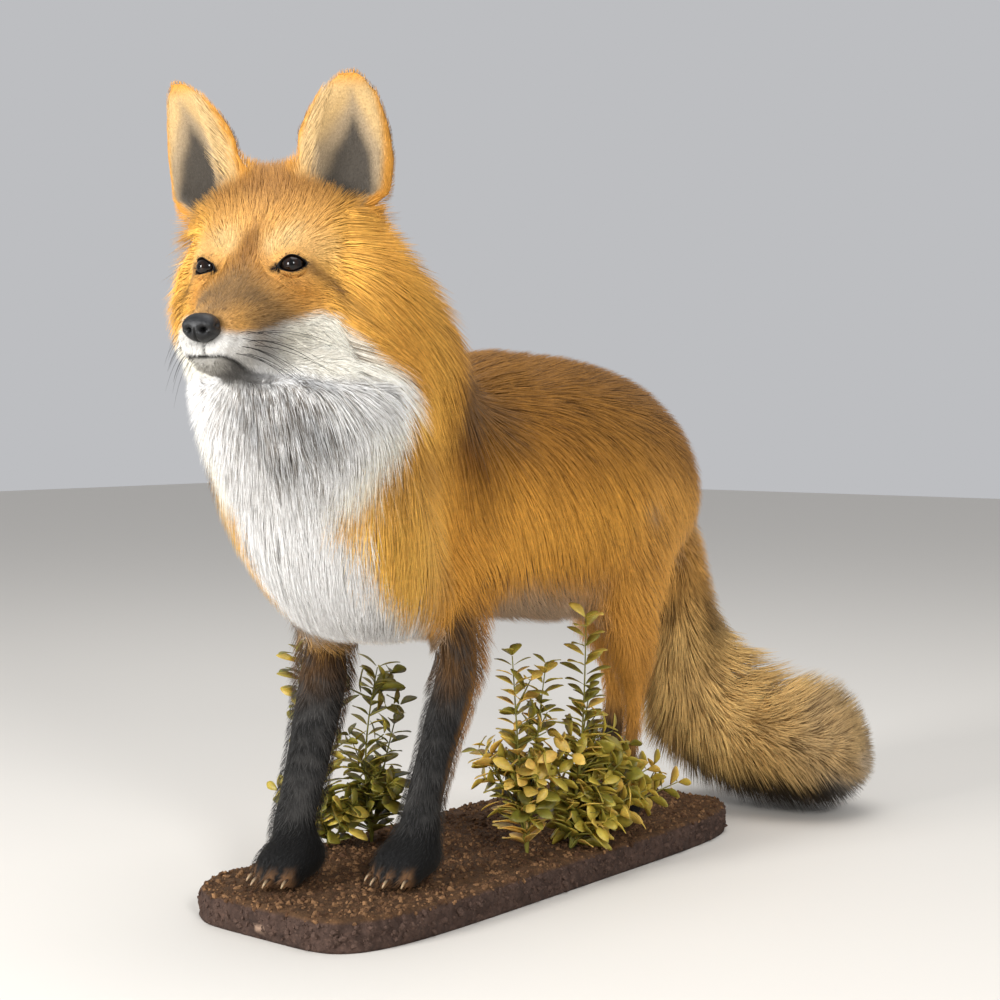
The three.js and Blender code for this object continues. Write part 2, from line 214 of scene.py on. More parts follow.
def spot(places, centre, size):  # a soft round patch of weight 1 at its centre
    return np.exp(-((((places - np.array(centre)) / np.array(size)) ** 2).sum(-1)))


def stripe(places, a, b, width):  # a soft patch about the line from a to b
    a, b = np.array(a, float), np.array(b, float)
    share = np.clip(((places - a) @ (b - a)) / ((b - a) @ (b - a)), 0, 1)
    return np.exp(-(np.linalg.norm(places - a - share[:, None] * (b - a), axis=-1) / width) ** 2)


def bothSides(places):  # the head's two halves laid on each other
    return np.stack([places[:, 0], np.abs(places[:, 1]), places[:, 2]], -1)


# the skin: one closed surface through every node of flesh

skin = dict(
    voxel=3.5 * mm,
    bridge=0.4 * mm,
    rounds=26,
    least=0.7 * mm,
    bridging=60,
    calming=26,
    steps=12,
    groups=dict(
        head=["head"],
        neck=["neck"],
        trunk=["trunk"],
        ears=["ear_left", "ear_right"],
        tail=["tail_root", "tail_brush", "tail_tip"],
        forelegs=["foreleg_left", "foreleg_right"],
        hindlegs=["hindleg_left", "hindleg_right"],
        paws=["forepaw_left", "forepaw_right", "hindpaw_left", "hindpaw_right"],
    ),
)
groupNames = list(skin["groups"])
fleshNodes = [name for group in skin["groups"].values() for name in group]
tailPath = np.array([
    (6, 232, 296), (0, 260, 252), (-14, 284, 198), (-20, 300, 146), (-6, 314, 102),
    (31, 326, 70), (74, 334, 62), (114, 342, 59), (146, 348, 63),
]) * mm


def edgesOf(tris):
    pairs = np.sort(np.concatenate([tris[:, [0, 1]], tris[:, [1, 2]], tris[:, [2, 0]]]), axis=1)
    return np.unique(pairs, axis=0)


def neighbourMean(values, edges):
    first, second = edges[:, 0], edges[:, 1]
    total = len(values)
    count = np.bincount(first, minlength=total) + np.bincount(second, minlength=total)
    columns = [
        np.bincount(first, values[second, k], total) + np.bincount(second, values[first, k], total)
        for k in range(values.shape[1])
    ]
    return np.stack(columns, -1) / np.maximum(count, 1)[:, None]


def softened(values, edges, rounds, strength):
    for _ in range(rounds):
        values = values + strength * (neighbourMean(values, edges) - values)
    return values


def normalsOf(points, tris):
    a, b, c = points[tris[:, 0]], points[tris[:, 1]], points[tris[:, 2]]
    flat = np.cross(b - a, c - a)
    normals = np.stack([
        sum(np.bincount(tris[:, k], flat[:, axis], len(points)) for k in range(3)) for axis in range(3)
    ], -1)
    return unit(normals)


def largestPart(count, edges):
    label = np.arange(count)
    while True:
        low = label.copy()
        np.minimum.at(low, edges[:, 0], label[edges[:, 1]])
        np.minimum.at(low, edges[:, 1], label[edges[:, 0]])
        low = low[low]
        if (low == label).all():
            break
        label = low
    names, sizes = np.unique(label, return_counts=True)
    return label == names[sizes.argmax()]


def trianglesOf(mesh):
    mesh.calc_loop_triangles()
    tris = np.zeros(len(mesh.loop_triangles) * 3, np.int32)
    mesh.loop_triangles.foreach_get("vertices", tris)
    points = np.zeros(len(mesh.vertices) * 3, np.float32)
    mesh.vertices.foreach_get("co", points)
    return points.reshape(-1, 3).astype(float), tris.reshape(-1, 3)


def rawSkin():
    shape = nodeCorners(fleshNodes)
    shape.normal_update()
    for corner in shape.verts:
        corner.co += corner.normal * skin["bridge"]
    mesh = bpy.data.meshes.new("rawSkin")
    shape.to_mesh(mesh)
    shape.free()
    piece = bpy.data.objects.new("rawSkin", mesh)
    scene.collection.objects.link(piece)
    fill = piece.modifiers.new("fill", "REMESH")
    fill.mode = "VOXEL"
    fill.voxel_size = skin["voxel"]
    settled(piece)
    mesh = piece.data
    points, tris = trianglesOf(mesh)
    edges = edgesOf(tris)
    kept = largestPart(len(points), edges)
    group = nearestGroup(points)
    strength = np.full(len(points), 0.5)
    strength[group == groupNames.index("ears")] = 0.16
    strength[group == groupNames.index("paws")] = 0.12
    for _ in range(skin["rounds"]):
        points = points + strength[:, None] * (neighbourMean(points, edges) - points)
        points = points - 1.03 * strength[:, None] * (neighbourMean(points, edges) - points)
    mesh.vertices.foreach_set("co", points.astype(np.float32).ravel())
    body = bmesh.new()
    body.from_mesh(mesh)
    body.verts.ensure_lookup_table()
    bmesh.ops.delete(body, geom=[body.verts[k] for k in np.where(~kept)[0]], context="VERTS")
    bpy.data.objects.remove(piece)
    refine(body)
    bmesh.ops.triangulate(body, faces=body.faces)
    fine = bpy.data.meshes.new("foxSkin")
    body.to_mesh(fine)
    body.free()
    return fine


def refine(body):  # smaller faces over the face, smaller still at the eyes, nose and mouth
    for level in range(3):
        middles = np.array([face.calc_center_median() for face in body.faces])
        h = inHead(middles)
        s = bothSides(h)
        eye = np.linalg.norm((s - np.array([-1.5, 31, 0])) * [0.6, 1, 1.3], axis=-1)
        lips = (s[:, 0] > 18) & (s[:, 1] < 27) & (np.abs(s[:, 2] - mouthLine(s[:, 0])) < 7)
        if level == 0:
            picked = (s[:, 0] > -20) & (s[:, 1] < 52) & (s[:, 2] > -78) & (s[:, 2] < 28)
        elif level == 1:
            picked = (eye < 17) | lips
        else:
            picked = (eye < 11.5) | (lips & (s[:, 0] > 48) & (s[:, 1] < 7))
        faces = [face for face, chosen in zip(body.faces, picked) if chosen]
        edges = list({edge for face in faces for edge in face.edges})
        bmesh.ops.subdivide_edges(body, edges=edges, cuts=1, use_grid_fill=True)


def nodeTree():
    corners, faces, owner = [], [], []
    for number, name in enumerate(groupNames):
        for node in skin["groups"][name]:
            points, tris = trianglesOf(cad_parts[node].data)
            faces.append(tris + sum(len(c) for c in corners))
            corners.append(points)
            owner += [number] * len(tris)
    tree = BVHTree.FromPolygons(np.concatenate(corners).tolist(), np.concatenate(faces).tolist())
    return tree, np.array(owner)


flesh = nodeTree()


def nearestGroup(points):
    tree, owner = flesh
    return owner[[tree.find_nearest(point)[2] for point in points]]


def alongTail(points):  # share of the way along, direction there, and the nearest point of its axis
    best = np.full(len(points), np.inf)
    share, way, axis = np.zeros(len(points)), np.zeros((len(points), 3)), np.zeros((len(points), 3))
    pieces = len(tailPath) - 1
    for k in range(pieces):
        a, b = tailPath[k], tailPath[k + 1]
        t = np.clip(((points - a) @ (b - a)) / ((b - a) @ (b - a)), 0, 1)
        foot = a + t[:, None] * (b - a)
        far = np.linalg.norm(points - foot, axis=-1)
        near = far < best
        best[near] = far[near]
        share[near] = (k + t[near]) / pieces
        way[near] = unit(b - a)
        axis[near] = foot[near]
    return share, way, axis


def coatDepth(points, normals, weight):  # how far the coat stands off the skin, in metres
    h = inHead(points)
    s = bothSides(h)
    face = 2.4 + 4.0 * fade(s[:, 0], 26, -18) + 5 * fade(s[:, 2], 18, 60)
    cheek = fade(s[:, 1], 44, 74) * fade(s[:, 0], 4, -34)
    head = face + 24 * cheek + 13 * fade(s[:, 0], -34, -84)
    head = head + 15 * fade(s[:, 2], -78, -92) * fade(s[:, 0], 50, 10)
    near = np.linalg.norm((s - np.array([-1.5, 31, 0])), axis=-1)
    head = np.where(near < 26, np.minimum(head, 1.6 + 4 * fade(near, 10, 26)), head)
    below = fade(points[:, 2], 0.33, 0.20)
    neck = 34 - 8 * below
    trunk = 20 + 4 * fade(normals[:, 2], 0, -0.7) - 3 * fade(normals[:, 2], 0.3, 0.8)
    leg = 4.4 + 12 * fade(points[:, 2], 0.14, 0.24)
    deep = dict(head=head, neck=neck, trunk=trunk, ears=1.2, tail=12, forelegs=leg, hindlegs=leg, paws=2.2)
    return sum(weight[:, k] * deep[name] for k, name in enumerate(groupNames)) * mm


lids = dict(wide=9.2, upper=6.2, lower=5.2, point=1.6, thick=1.3, reach=1.75, outward=0.42, lean=0.05)


def eyeAxes(side):
    hand = 1 if side == "left" else -1
    gaze = unit(headForward + headLeft * hand * lids["outward"] + headUp * lids["lean"])
    across = unit(np.cross(headUp, gaze)) * hand
    across = unit(across + headUp * 0.10)
    across = unit(across - gaze * (across @ gaze))
    rise = np.cross(gaze, across) * hand
    return np.array(eyeMiddle[side]), gaze, across, rise


def almond(across, rise):  # 1 on the edge of the lids' opening, less inside it
    tall = np.where(rise > 0, lids["upper"], lids["lower"])
    power = lids["point"]
    return ((np.abs(across) / lids["wide"]) ** power + (np.abs(rise) / tall) ** power) ** (1 / power)


def sculptFace(points, tris, edges):
    h = inHead(points)
    s = bothSides(h)
    normals = unit(softened(normalsOf(points, tris), edges, 24, 0.6))
    lift = 2.2 * spot(s, (6, 21, 15), (10, 9, 6))  # brow
    lift -= 3.0 * spot(s, (10, 19, -3), (9, 6, 8))  # hollow at the inner corner
    lift -= 1.6 * spot(s, (0, 38, -15), (10, 12, 6))  # under the eye
    lift += 1.5 * stripe(s, (24, 0, -14), (52, 0, -30), 7)  # ridge of the muzzle
    lift += 3.0 * spot(s, (46, 18, -52), (14, 9, 8))  # whisker pad
    lift += 1.4 * spot(s, (56, 8, -56), (9, 7, 6))
    lift -= 1.2 * spot(s, (26, 26, -40), (10, 10, 10))
    mouth = mouthLine(s[:, 0])
    front = fade(s[:, 0], 14, 24) * (s[:, 1] < 30)
    lift -= 1.5 * np.exp(-((s[:, 2] - mouth) / 1.2) ** 2) * front  # mouth line
    sunk = 1.3 * fade(s[:, 2], mouth + 1, mouth - 3) * front
    lift -= sunk * fade(s[:, 2], -84, -78)  # the lower jaw sits in
    lift -= 1.3 * splitLip(s)
    points = points + normals * lift[:, None] * mm
    calm = (np.exp(-((s[:, 2] - mouth + 3) / 7) ** 2) * fade(s[:, 0], 4, 14) * (s[:, 1] < 34))[:, None]
    for _ in range(5):
        points = points + 0.4 * calm * (neighbourMean(points, edges) - points)
    for side in ("left", "right"):
        middle, gaze, across, rise = eyeAxes(side)
        away = (points - middle) / mm
        a, b, high = away @ across, away @ rise, away @ gaze
        ring = almond(a, b)
        shell = eyeRadius / mm + lids["thick"]
        flat = np.sqrt(a * a + b * b)
        lid = np.sqrt(np.maximum(shell ** 2 - np.minimum(flat, shell * 0.97) ** 2, 0))
        near = (high > -6) & (flat < 19)
        share = fade(ring, lids["reach"] + 0.5, 1.15) * near
        lidHigh = np.maximum(lid, high - 2.5)
        high2 = high + (lidHigh - high) * share
        cup = np.where(ring < 1, -3.5 * fade(ring, 1.0, 0.84) + lid * fade(ring, 0.84, 1.0), high2)
        high2 = np.where(near & (ring < 1.0), cup, high2)
        points = points + gaze * ((high2 - high) * near)[:, None] * mm
    return points


def mouthLine(forward):
    return -61.0 - 0.26 * np.clip(60 - forward, 0, 44)


def splitLip(s):  # the groove from the nose down to the mouth
    groove = np.exp(-(s[:, 1] / 1.1) ** 2) * fade(s[:, 0], 54, 59)
    return groove * fade(s[:, 2], -49, -52) * fade(s[:, 2], -64, -61)


fine = rawSkin()
outer, tris = trianglesOf(fine)
edges = edgesOf(tris)
outer = softened(outer, edges, 3, 0.4)
report(f"skin remeshed: {len(tris)} triangles")

weight = np.eye(len(groupNames))[nearestGroup(outer)]
weight = softened(weight, edges, 10, 0.7)
weight /= weight.sum(1, keepdims=True)
part = {name: weight[:, k] for k, name in enumerate(groupNames)}


def bridged(points):  # long fur closes the creases where head, neck and trunk meet
    h = inHead(points)
    s = bothSides(h)
    below = np.maximum(fade(s[:, 2], -62, -76) * fade(s[:, 1], 28, 46), fade(s[:, 2], -78, -86))
    behind = np.maximum(fade(s[:, 0], -12, -42), below)
    loose = part["neck"] + part["trunk"] + part["head"] * behind
    loose += (part["forelegs"] + part["hindlegs"]) * fade(points[:, 2], 0.17, 0.22)
    loose = np.clip(softened(loose[:, None], edges, 6, 0.6), 0, 1)
    for _ in range(skin["bridging"]):
        points = points + 0.5 * loose * (neighbourMean(points, edges) - points)
    return points


def padded(points):  # places where the coat stands fuller, or closer, than the flesh under it
    normals = normalsOf(points, tris)
    rise = 13 * spot(points / mm, (56, 326, 136), (52, 34, 34)) * part["tail"]
    fall = 15 * spot(points / mm, (172, 352, 108), (26, 46, 30)) * part["tail"]
    under = 10 * spot(points / mm, (-42, 286, 66), (44, 38, 36)) * part["tail"]
    points = points + unit(np.array([0.3, 0.2, 0.9])) * rise[:, None] * mm
    points = points - unit(np.array([0.8, 0, 0.6])) * fall[:, None] * mm
    points = points - unit(np.array([0.62, 0.5, 0.5])) * under[:, None] * mm
    sideways = normals @ unit(np.array([0.78, 0.63, 0]))
    x, z = points[:, 0], points[:, 2]
    rearSide = part["forelegs"] * (x < bodyMiddle * mm) * fade(sideways, 0, 0.7) * fade(z, 0.05, 0.09)
    hock = part["hindlegs"] * (x > bodyMiddle * mm) * fade(z, 0.055, 0.075) * fade(z, 0.17, 0.12)
    frontSide = (part["paws"] + 0.5 * part["forelegs"]) * (points[:, 1] < 0) * fade(sideways, 0, -0.7)
    rearSide = 4.5 * rearSide - 8 * hock * fade(sideways, 0, 0.7)
    return points + normals * (rearSide + 3.0 * frontSide)[:, None] * mm


outer = bridged(padded(outer))


def moveIn(points):
    depth = coatDepth(points, normalsOf(points, tris), weight)
    depth = softened(depth[:, None], edges, 14, 0.7)[:, 0]
    slack = np.clip(depth / (16 * mm), 0, 0.5)[:, None]
    start = points
    for _ in range(skin["steps"]):
        points = points - normalsOf(points, tris) * depth[:, None] / skin["steps"]
        points = points + slack * (neighbourMean(points, edges) - points)
    _, _, axis = alongTail(start)
    core = axis + (points - axis) * 0.42
    share = fade(part["tail"], 0.25, 0.95)[:, None]
    points = points + (core - points) * share
    seam = np.clip(2 * spot(np.abs(start - [14 * mm, 0, 0]) / mm, (88, 205, 380), (30, 44, 24)), 0, 1)
    loose = np.maximum(fade(depth, 6 * mm, 13 * mm), seam)[:, None] * (1 - share)
    for _ in range(skin["calming"]):
        points = points + 0.5 * loose * (neighbourMean(points, edges) - points)
    return softened(points, edges, 2, 0.3)


inner = sculptFace(moveIn(outer), tris, edges)
innerNormals = normalsOf(inner, tris)
calmNormals = unit(softened(innerNormals, edges, 6, 0.6))
stands = ((outer - inner) * calmNormals).sum(1)
outer = np.where((stands < skin["least"])[:, None], inner + calmNormals * skin["least"], outer)
report("skin moved in by the coat's depth and the face shaped")


# markings, the same for skin and coat

paints = dict(
    gold=tone(244, 183, 82),
    orange=tone(232, 166, 66),
    rust=tone(206, 140, 54),
    umber=tone(144, 98, 40),
    # painted shade: the darker brown of the crease behind the shoulders
    creaseShade=tone(112, 66, 12),
    rump=tone(230, 169, 82),
    face=tone(226, 170, 92),
    crown=tone(166, 118, 60),
    cream=tone(240, 206, 144),
    brown=tone(126, 98, 62),
    white=tone(254, 253, 251),
    ivory=tone(246, 240, 222),
    ash=tone(206, 202, 192),
    slate=tone(120, 120, 118),
    # grey for the painted shadow below the chin and the dark hair streaks of the throat
    throatShadowAndStreaks=tone(122, 126, 132),
    charcoal=tone(66, 64, 62),
    soot=tone(29, 28, 27),
    black=tone(7, 6, 5),
    bark=tone(104, 72, 36),
    toe=tone(122, 88, 58),
    brush=tone(234, 192, 120),
    brushDark=tone(140, 104, 58),
    earRim=tone(222, 156, 62),
    earInside=tone(74, 68, 60),
    earHair=tone(212, 182, 130),
    earEdge=tone(160, 142, 116),
)
bib = dict(
    heights=(190, 212, 226, 234, 254, 272, 292, 308, 325, 341, 357, 373, 400),
    halfWidths=(84, 82, 76, 68, 62, 57, 49, 53, 59, 64, 70, 83, 87),
    middles=(20, 20, 18, 16, 20, 26, 28, 33, 38, 38, 35, 25, 17),
    backs=(-118, -136, -150, -176, -200, -214, -230, -233, -231, -226, -216, -202, -188),
)
ear = dict(
    heights=(46, 50, 76, 98, 112, 124, 130),
    halfWidths=(30, 36, 37.5, 32, 24, 14, 5),
    middles=(46, 48, 50, 54, 58, 62, 64),
    spread=(5, -3),
    dark=(0.54, 0.54, 0.36, 0.06, -0.2, -0.4, -0.5),
    shift=0.18,
)


def earPlace(h):  # across the ear from its middle, as a share of its half width
    spread = np.where(h[:, 1] > 0, ear["spread"][1], ear["spread"][0])
    middle = np.interp(h[:, 2], ear["heights"], ear["middles"]) + spread
    half = np.interp(h[:, 2], ear["heights"], ear["halfWidths"])
    return (np.abs(h[:, 1]) - middle) / half


clawNodes = [f"{paw}_claw_{k}" for paw in ("forepaw_left", "forepaw_right", "hindpaw_left", "hindpaw_right")
             for k in (1, 2, 3, 4)]
clawMiddles = np.array([np.mean([np.array(corner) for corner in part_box(node)], axis=0) for node in clawNodes])


def toeGap(points):  # 1 on the middle of a toe, 0 between two toes
    gap = np.abs(points[:, None, 0] - clawMiddles[None, :, 0])
    ahead = np.abs(points[:, None, 1] - clawMiddles[None, :, 1]) > 34 * mm
    return 1 - np.clip(np.where(ahead, 1, gap / (5.2 * mm)).min(1), 0, 1) ** 2


def layered(colour, *layers):  # paints laid one over the other, each with its share at every point
    for paint, share in layers:
        colour = blended(colour, paints[paint], share)
    return colour


def coatOf(paint, count):
    return np.tile(paints[paint], (count, 1))


def bodyMarks(at, normals):  # back, flanks, neck and belly, and how many of the hairs are dark
    x, y, z = at["x"], at["y"], at["z"]
    top = fade(normals[:, 2], 0.15, 0.8)
    # painted shade in the crease behind the shoulders, where neck and trunk meet
    creaseShade = spot(np.stack([np.abs(x - bodyMiddle), y, z], -1), (84, -104, 350), (60, 20, 62))
    belly = fade(normals[:, 2], -0.3, -0.75) * fade(y, -150, -110) * fade(z, 250, 225)
    # painted shade: the side of the neck turned back, away from the lamps, darker
    napeShade = fade(normals[:, 1], -0.25, 0.4) * fade(y, -262, -236) * fade(z, 290, 330)
    flank = 0.55 * fade(z + at["wander"], 262, 215)
    colour = layered(
        coatOf("orange", len(x)),
        ("gold", fade(y + at["wander"], -110, -165)),
        ("rust", 0.6 * spot(at["body"], (80, -20, 345), (90, 60, 46))),
        ("rust", flank * fade(y, -150, -90) * fade(y, 160, 60)),
        ("rump", 0.8 * fade(y + at["wander"], 60, 130)),
        ("umber", 0.72 * top * fade(y, -150, -90)),
        ("umber", 0.45 * fade(normals[:, 2], -0.05, 0.5) * fade(y, -110, -60)),
        ("umber", 0.6 * napeShade),
        ("creaseShade", 0.85 * creaseShade),
        ("slate", 0.6 * spot(at["body"], (88, 113, 281), (20, 9, 8))),
        ("ash", 0.55 * belly),
    )
    return colour, 0.15 * top + 0.03 * fade(y, -130, -40) + 0.06 * fade(y, 40, 150) + 0.02


def lowerJaw(s):
    mouth = mouthLine(s[:, 0])
    jaw = fade(s[:, 2], mouth + 1.0, mouth - 1.5) * fade(s[:, 2], -80, -77)
    return jaw * fade(s[:, 0], 16, 28) * (s[:, 1] < 28)


def faceMarks(points, at, jaw):
    s = at["s"]
    streak = stripe(s, (-3, 43, -1), (-11, 58, -13), 4.5) + stripe(s, (-11, 58, -13), (-16, 70, -28), 5.5)
    cheek = (0, 20, 34, 58, 91, 108), (-43, -44, -35, -32, -75, -84)  # where white begins, out from the nose
    edge = np.interp(s[:, 1], *cheek) + at["wander"] * 0.5
    white = fade(s[:, 2], edge + 3, edge - 4) * fade(s[:, 0], -64, -44)
    lipLine = np.exp(-((s[:, 2] - mouthLine(s[:, 0])) / 1.6) ** 2) * fade(s[:, 0], 16, 22) * (s[:, 1] < 28)
    face = layered(
        coatOf("face", len(s)),
        ("gold", fade(s[:, 1], 36, 56)),
        ("crown", 0.95 * fade(s[:, 2], 28, 58)),
        ("cream", 0.8 * spot(s, (-4, 24, 20), (14, 11, 10))),
        ("cream", 0.8 * spot(s, (3, 14, 11), (9, 6, 9))),
        ("cream", 0.35 * spot(s, (-14, 46, 12), (16, 14, 14))),
        ("umber", np.clip(1.4 * spot(s, (5, 0, 9), (18, 7, 18)), 0, 0.92)),
        ("rust", 0.45 * fade(s[:, 1], 46, 70) * fade(s[:, 0], 0, -40)),
        ("rust", 0.75 * spot(s, (2, 34, -17), (16, 18, 12))),
        ("rust", 0.6 * spot(s, (12, 12, -2), (12, 9, 10))),
        ("bark", 0.75 * streak),
        ("brown", 0.85 * stripe(s, (52, 0, -28), (18, 4, -10), 12)),
        ("brown", 0.95 * stripe(s, (28, 16, -20), (14, 28, -38), 13)),
        ("brown", 0.9 * stripe(s, (36, 18, -38), (10, 33, -46), 8)),
        ("white", white),
        ("ivory", 0.8 * white * fade(s[:, 0], 24, 10)),
        ("ash", 0.45 * fade(s[:, 0], 20, 32) * white),
        ("slate", 0.7 * spot(s, (22, 26, -54), (15, 12, 13))),
        ("brown", 0.5 * spot(s, (30, 22, -48), (14, 12, 9))),
        ("charcoal", 0.9 * jaw),
        ("ash", 0.55 * jaw * fade(s[:, 0], 40, 56)),
        ("slate", 0.35 * stripe(s, (56, 10, -60), (30, 22, -64), 4)),
        ("black", lipLine),
        ("black", splitLip(s)),
        ("slate", 0.5 * spot(s, (64, 0, -42), (8, 15, 13))),
    )
    for side in ("left", "right"):
        middle, gaze, across, rise = eyeAxes(side)
        away = (points - middle) / mm
        a, b, high = away @ across, away @ rise, np.abs(away @ gaze)
        rim = fade(almond(a, b), 1.17, 1.05) * (high < 14)
        corner = spot(np.stack([a, b], -1), (-10.5, -0.8), (3.4, 2.4)) * (high < 16)
        face = layered(face, ("black", rim), ("black", 1.1 * corner))
    return face


def bibShare(at, jaw, part):  # 1 on the white of the throat and chest
    x, y, z, s = at["x"], at["y"], at["z"], at["s"]
    half = np.interp(z, bib["heights"], bib["halfWidths"]) + at["wander"] * 0.8
    off = np.abs(x - np.interp(z, bib["heights"], bib["middles"]))
    back = np.interp(z, bib["heights"], bib["backs"])
    under = fade(s[:, 2], -66, -76) * fade(z, 178, 200)
    chest = (1 - jaw) * fade(half - off, -5, 6) * fade(y, back + 12, back - 14) * under
    return chest * np.clip(part["head"] + part["neck"] + part["trunk"], 0, 1), half - off


def earMarks(at, normals):
    s, place = at["s"], earPlace(at["h"])
    facing = fade(normals @ headForward, -0.15, 0.25)
    dim = np.interp(s[:, 2], ear["heights"], ear["dark"])
    centred = np.abs(place - ear["shift"])
    within = facing * fade(np.abs(place), 0.88, 0.72) * fade(s[:, 2], 127, 114)
    return layered(
        coatOf("earRim", len(s)),
        ("earHair", 0.9 * within),
        ("earEdge", 0.9 * within * fade(centred, dim + 0.42, dim + 0.08)),
        ("earInside", within * fade(centred, dim + 0.12, dim - 0.16)),
        ("soot", 0.9 * (1 - facing) * fade(s[:, 2], 54, 84)),
        ("bark", 0.6 * (1 - facing) * fade(s[:, 2], 84, 54)),
    )


def legMarks(points, at, normals):  # the black of the forelegs, the rusty hind legs and the toes
    x, z = at["x"], at["z"]
    rear = fade(normals[:, 1] + 0.3 * np.sign(x - bodyMiddle) * normals[:, 0], 0.1, 0.65)
    legs = layered(
        coatOf("soot", len(x)),
        ("bark", 0.9 * rear * fade(z, 60, 120) + 0.85 * fade(z + at["wander"], 140, 196)),
        ("rust", 0.65 * rear * fade(z, 70, 140)),
        # painted sheen: grey mottling over the black of the forelegs
        ("charcoal", 0.7 * fade(at["fine"], -0.4, 1.2)),
    )
    dark = spot(at["body"], (-38, 214, 78), (40, 40, 26))
    dark = dark + 0.9 * spot(at["body"], (54, 118, 74), (30, 20, 26))
    shank = layered(
        coatOf("rump", len(x)),
        ("rust", 0.5),
        ("soot", np.clip(dark, 0, 1)),
        ("soot", fade(z, 66, 44)),
    )
    knuckle = 0.95 * fade(z, 44, 35) * fade(toeGap(points), 0.45, 0.8)
    toes = layered(coatOf("black", len(x)), ("toe", knuckle * fade(normals[:, 1], 0.1, -0.3)))
    return legs, shank, toes


def tailMarks(points, at):
    share, _, _ = alongTail(points)
    streaks = ripple(points * [1, 1, 0.6], 0.045, 8)
    return layered(
        coatOf("brush", len(points)),
        ("rump", 0.8 * fade(share, 0.38, 0.2)),
        ("brushDark", 0.4 * fade(streaks, 0.3, 1.3)),
        ("brushDark", 0.8 * spot(at["body"], (24, 300, 176), (26, 26, 26))),
        ("brushDark", 0.55 * spot(at["body"], (0, 252, 168), (14, 14, 20))),
        ("brushDark", 0.5 * spot(at["body"], (36, 288, 138), (18, 20, 26))),
        ("soot", 0.6 * spot(at["body"], (32, 316, 158), (22, 20, 26))),
        ("slate", 0.35 * fade(share, 0.74, 0.94)),
        # the end of the brush is black low down near the floor: partly dark fur, partly painted contact shadow
        ("black", 0.95 * (fade(at["z"] + 0.6 * at["wander"], 36, 18) * fade(share, 0.5, 0.66))),
        ("white", 0.55 * spot(at["body"], (146, 350, 36), (12, 30, 14))),
    )


def markings(points, normals, part):  # the colour, and the share of dark hairs, at each point
    h = inHead(points)
    s = bothSides(h)
    x, y, z = points.T / mm
    fine = ripple(points, 0.016, 4)
    at = dict(h=h, s=s, x=x, y=y, z=z, body=points / mm, wander=ripple(points, 0.05, 3) * 5, fine=fine)
    colour, pepper = bodyMarks(at, normals)
    jaw = lowerJaw(s)
    head = np.clip(part["head"] * 1.2, 0, 1) * fade(s[:, 0], -96, -40)
    colour = blended(colour, faceMarks(points, at, jaw), head)
    pepper = pepper * (1 - head) + head * (0.02 + 0.10 * fade(s[:, 0], -10, 30) * fade(s[:, 2], -60, -30))
    # throat and bib
    chest, inside = bibShare(at, jaw, part)
    # below the chin the bib is greyed: partly painted shadow under the jaw, partly dark-tipped hair streaks
    streaks = np.clip(1.3 * spot(at["body"], (54, -266, 356), (40, 60, 50)), 0, 1) * chest
    low = spot(at["body"], (58, -178, 222), (30, 30, 12)) * chest
    colour = layered(
        colour,
        ("white", chest),
        ("ash", 0.15 * chest * fade(inside, 22, 4)),
        ("throatShadowAndStreaks", 0.62 * np.clip(streaks * (0.8 + 0.5 * fine), 0, 1)),
        ("slate", 0.5 * low),
    )
    pepper = pepper * (1 - chest) + chest * (0.02 + 0.46 * streaks + 0.4 * low)
    # ears
    colour = blended(colour, earMarks(at, normals), np.clip(part["ears"] * 1.3 - 0.15, 0, 1))
    pepper = pepper * (1 - np.clip(part["ears"] * 1.5, 0, 1))
    # legs
    legs, shank, toes = legMarks(points, at, normals)
    paw = np.clip(part["paws"] * 1.2, 0, 1)
    fore = np.clip((part["forelegs"] + part["paws"] * (y < 0)) * 1.3, 0, 1)
    hind = np.clip((part["hindlegs"] + part["paws"] * (y > 0)) * 1.3, 0, 1)
    colour = blended(colour, legs, fore * fade(z, 235, 195))
    colour = blended(colour, shank, hind * fade(z, 220, 160))
    colour = blended(colour, toes, paw)
    pepper = pepper * (1 - np.clip(fore * fade(z, 235, 195) + hind + paw, 0, 1)) + 0.05 * fore
    # tail
    tail = np.clip(part["tail"] * 1.1, 0, 1)
    colour = blended(colour, tailMarks(points, at), tail)
    pepper = pepper * (1 - tail) + tail * (0.13 + 0.06 * fine)
    return np.clip(colour, 0.002, 1), np.clip(pepper, 0, 0.7)


# the way the coat lies

def turned(way, other, share):
    return way * (1 - share) + other * share


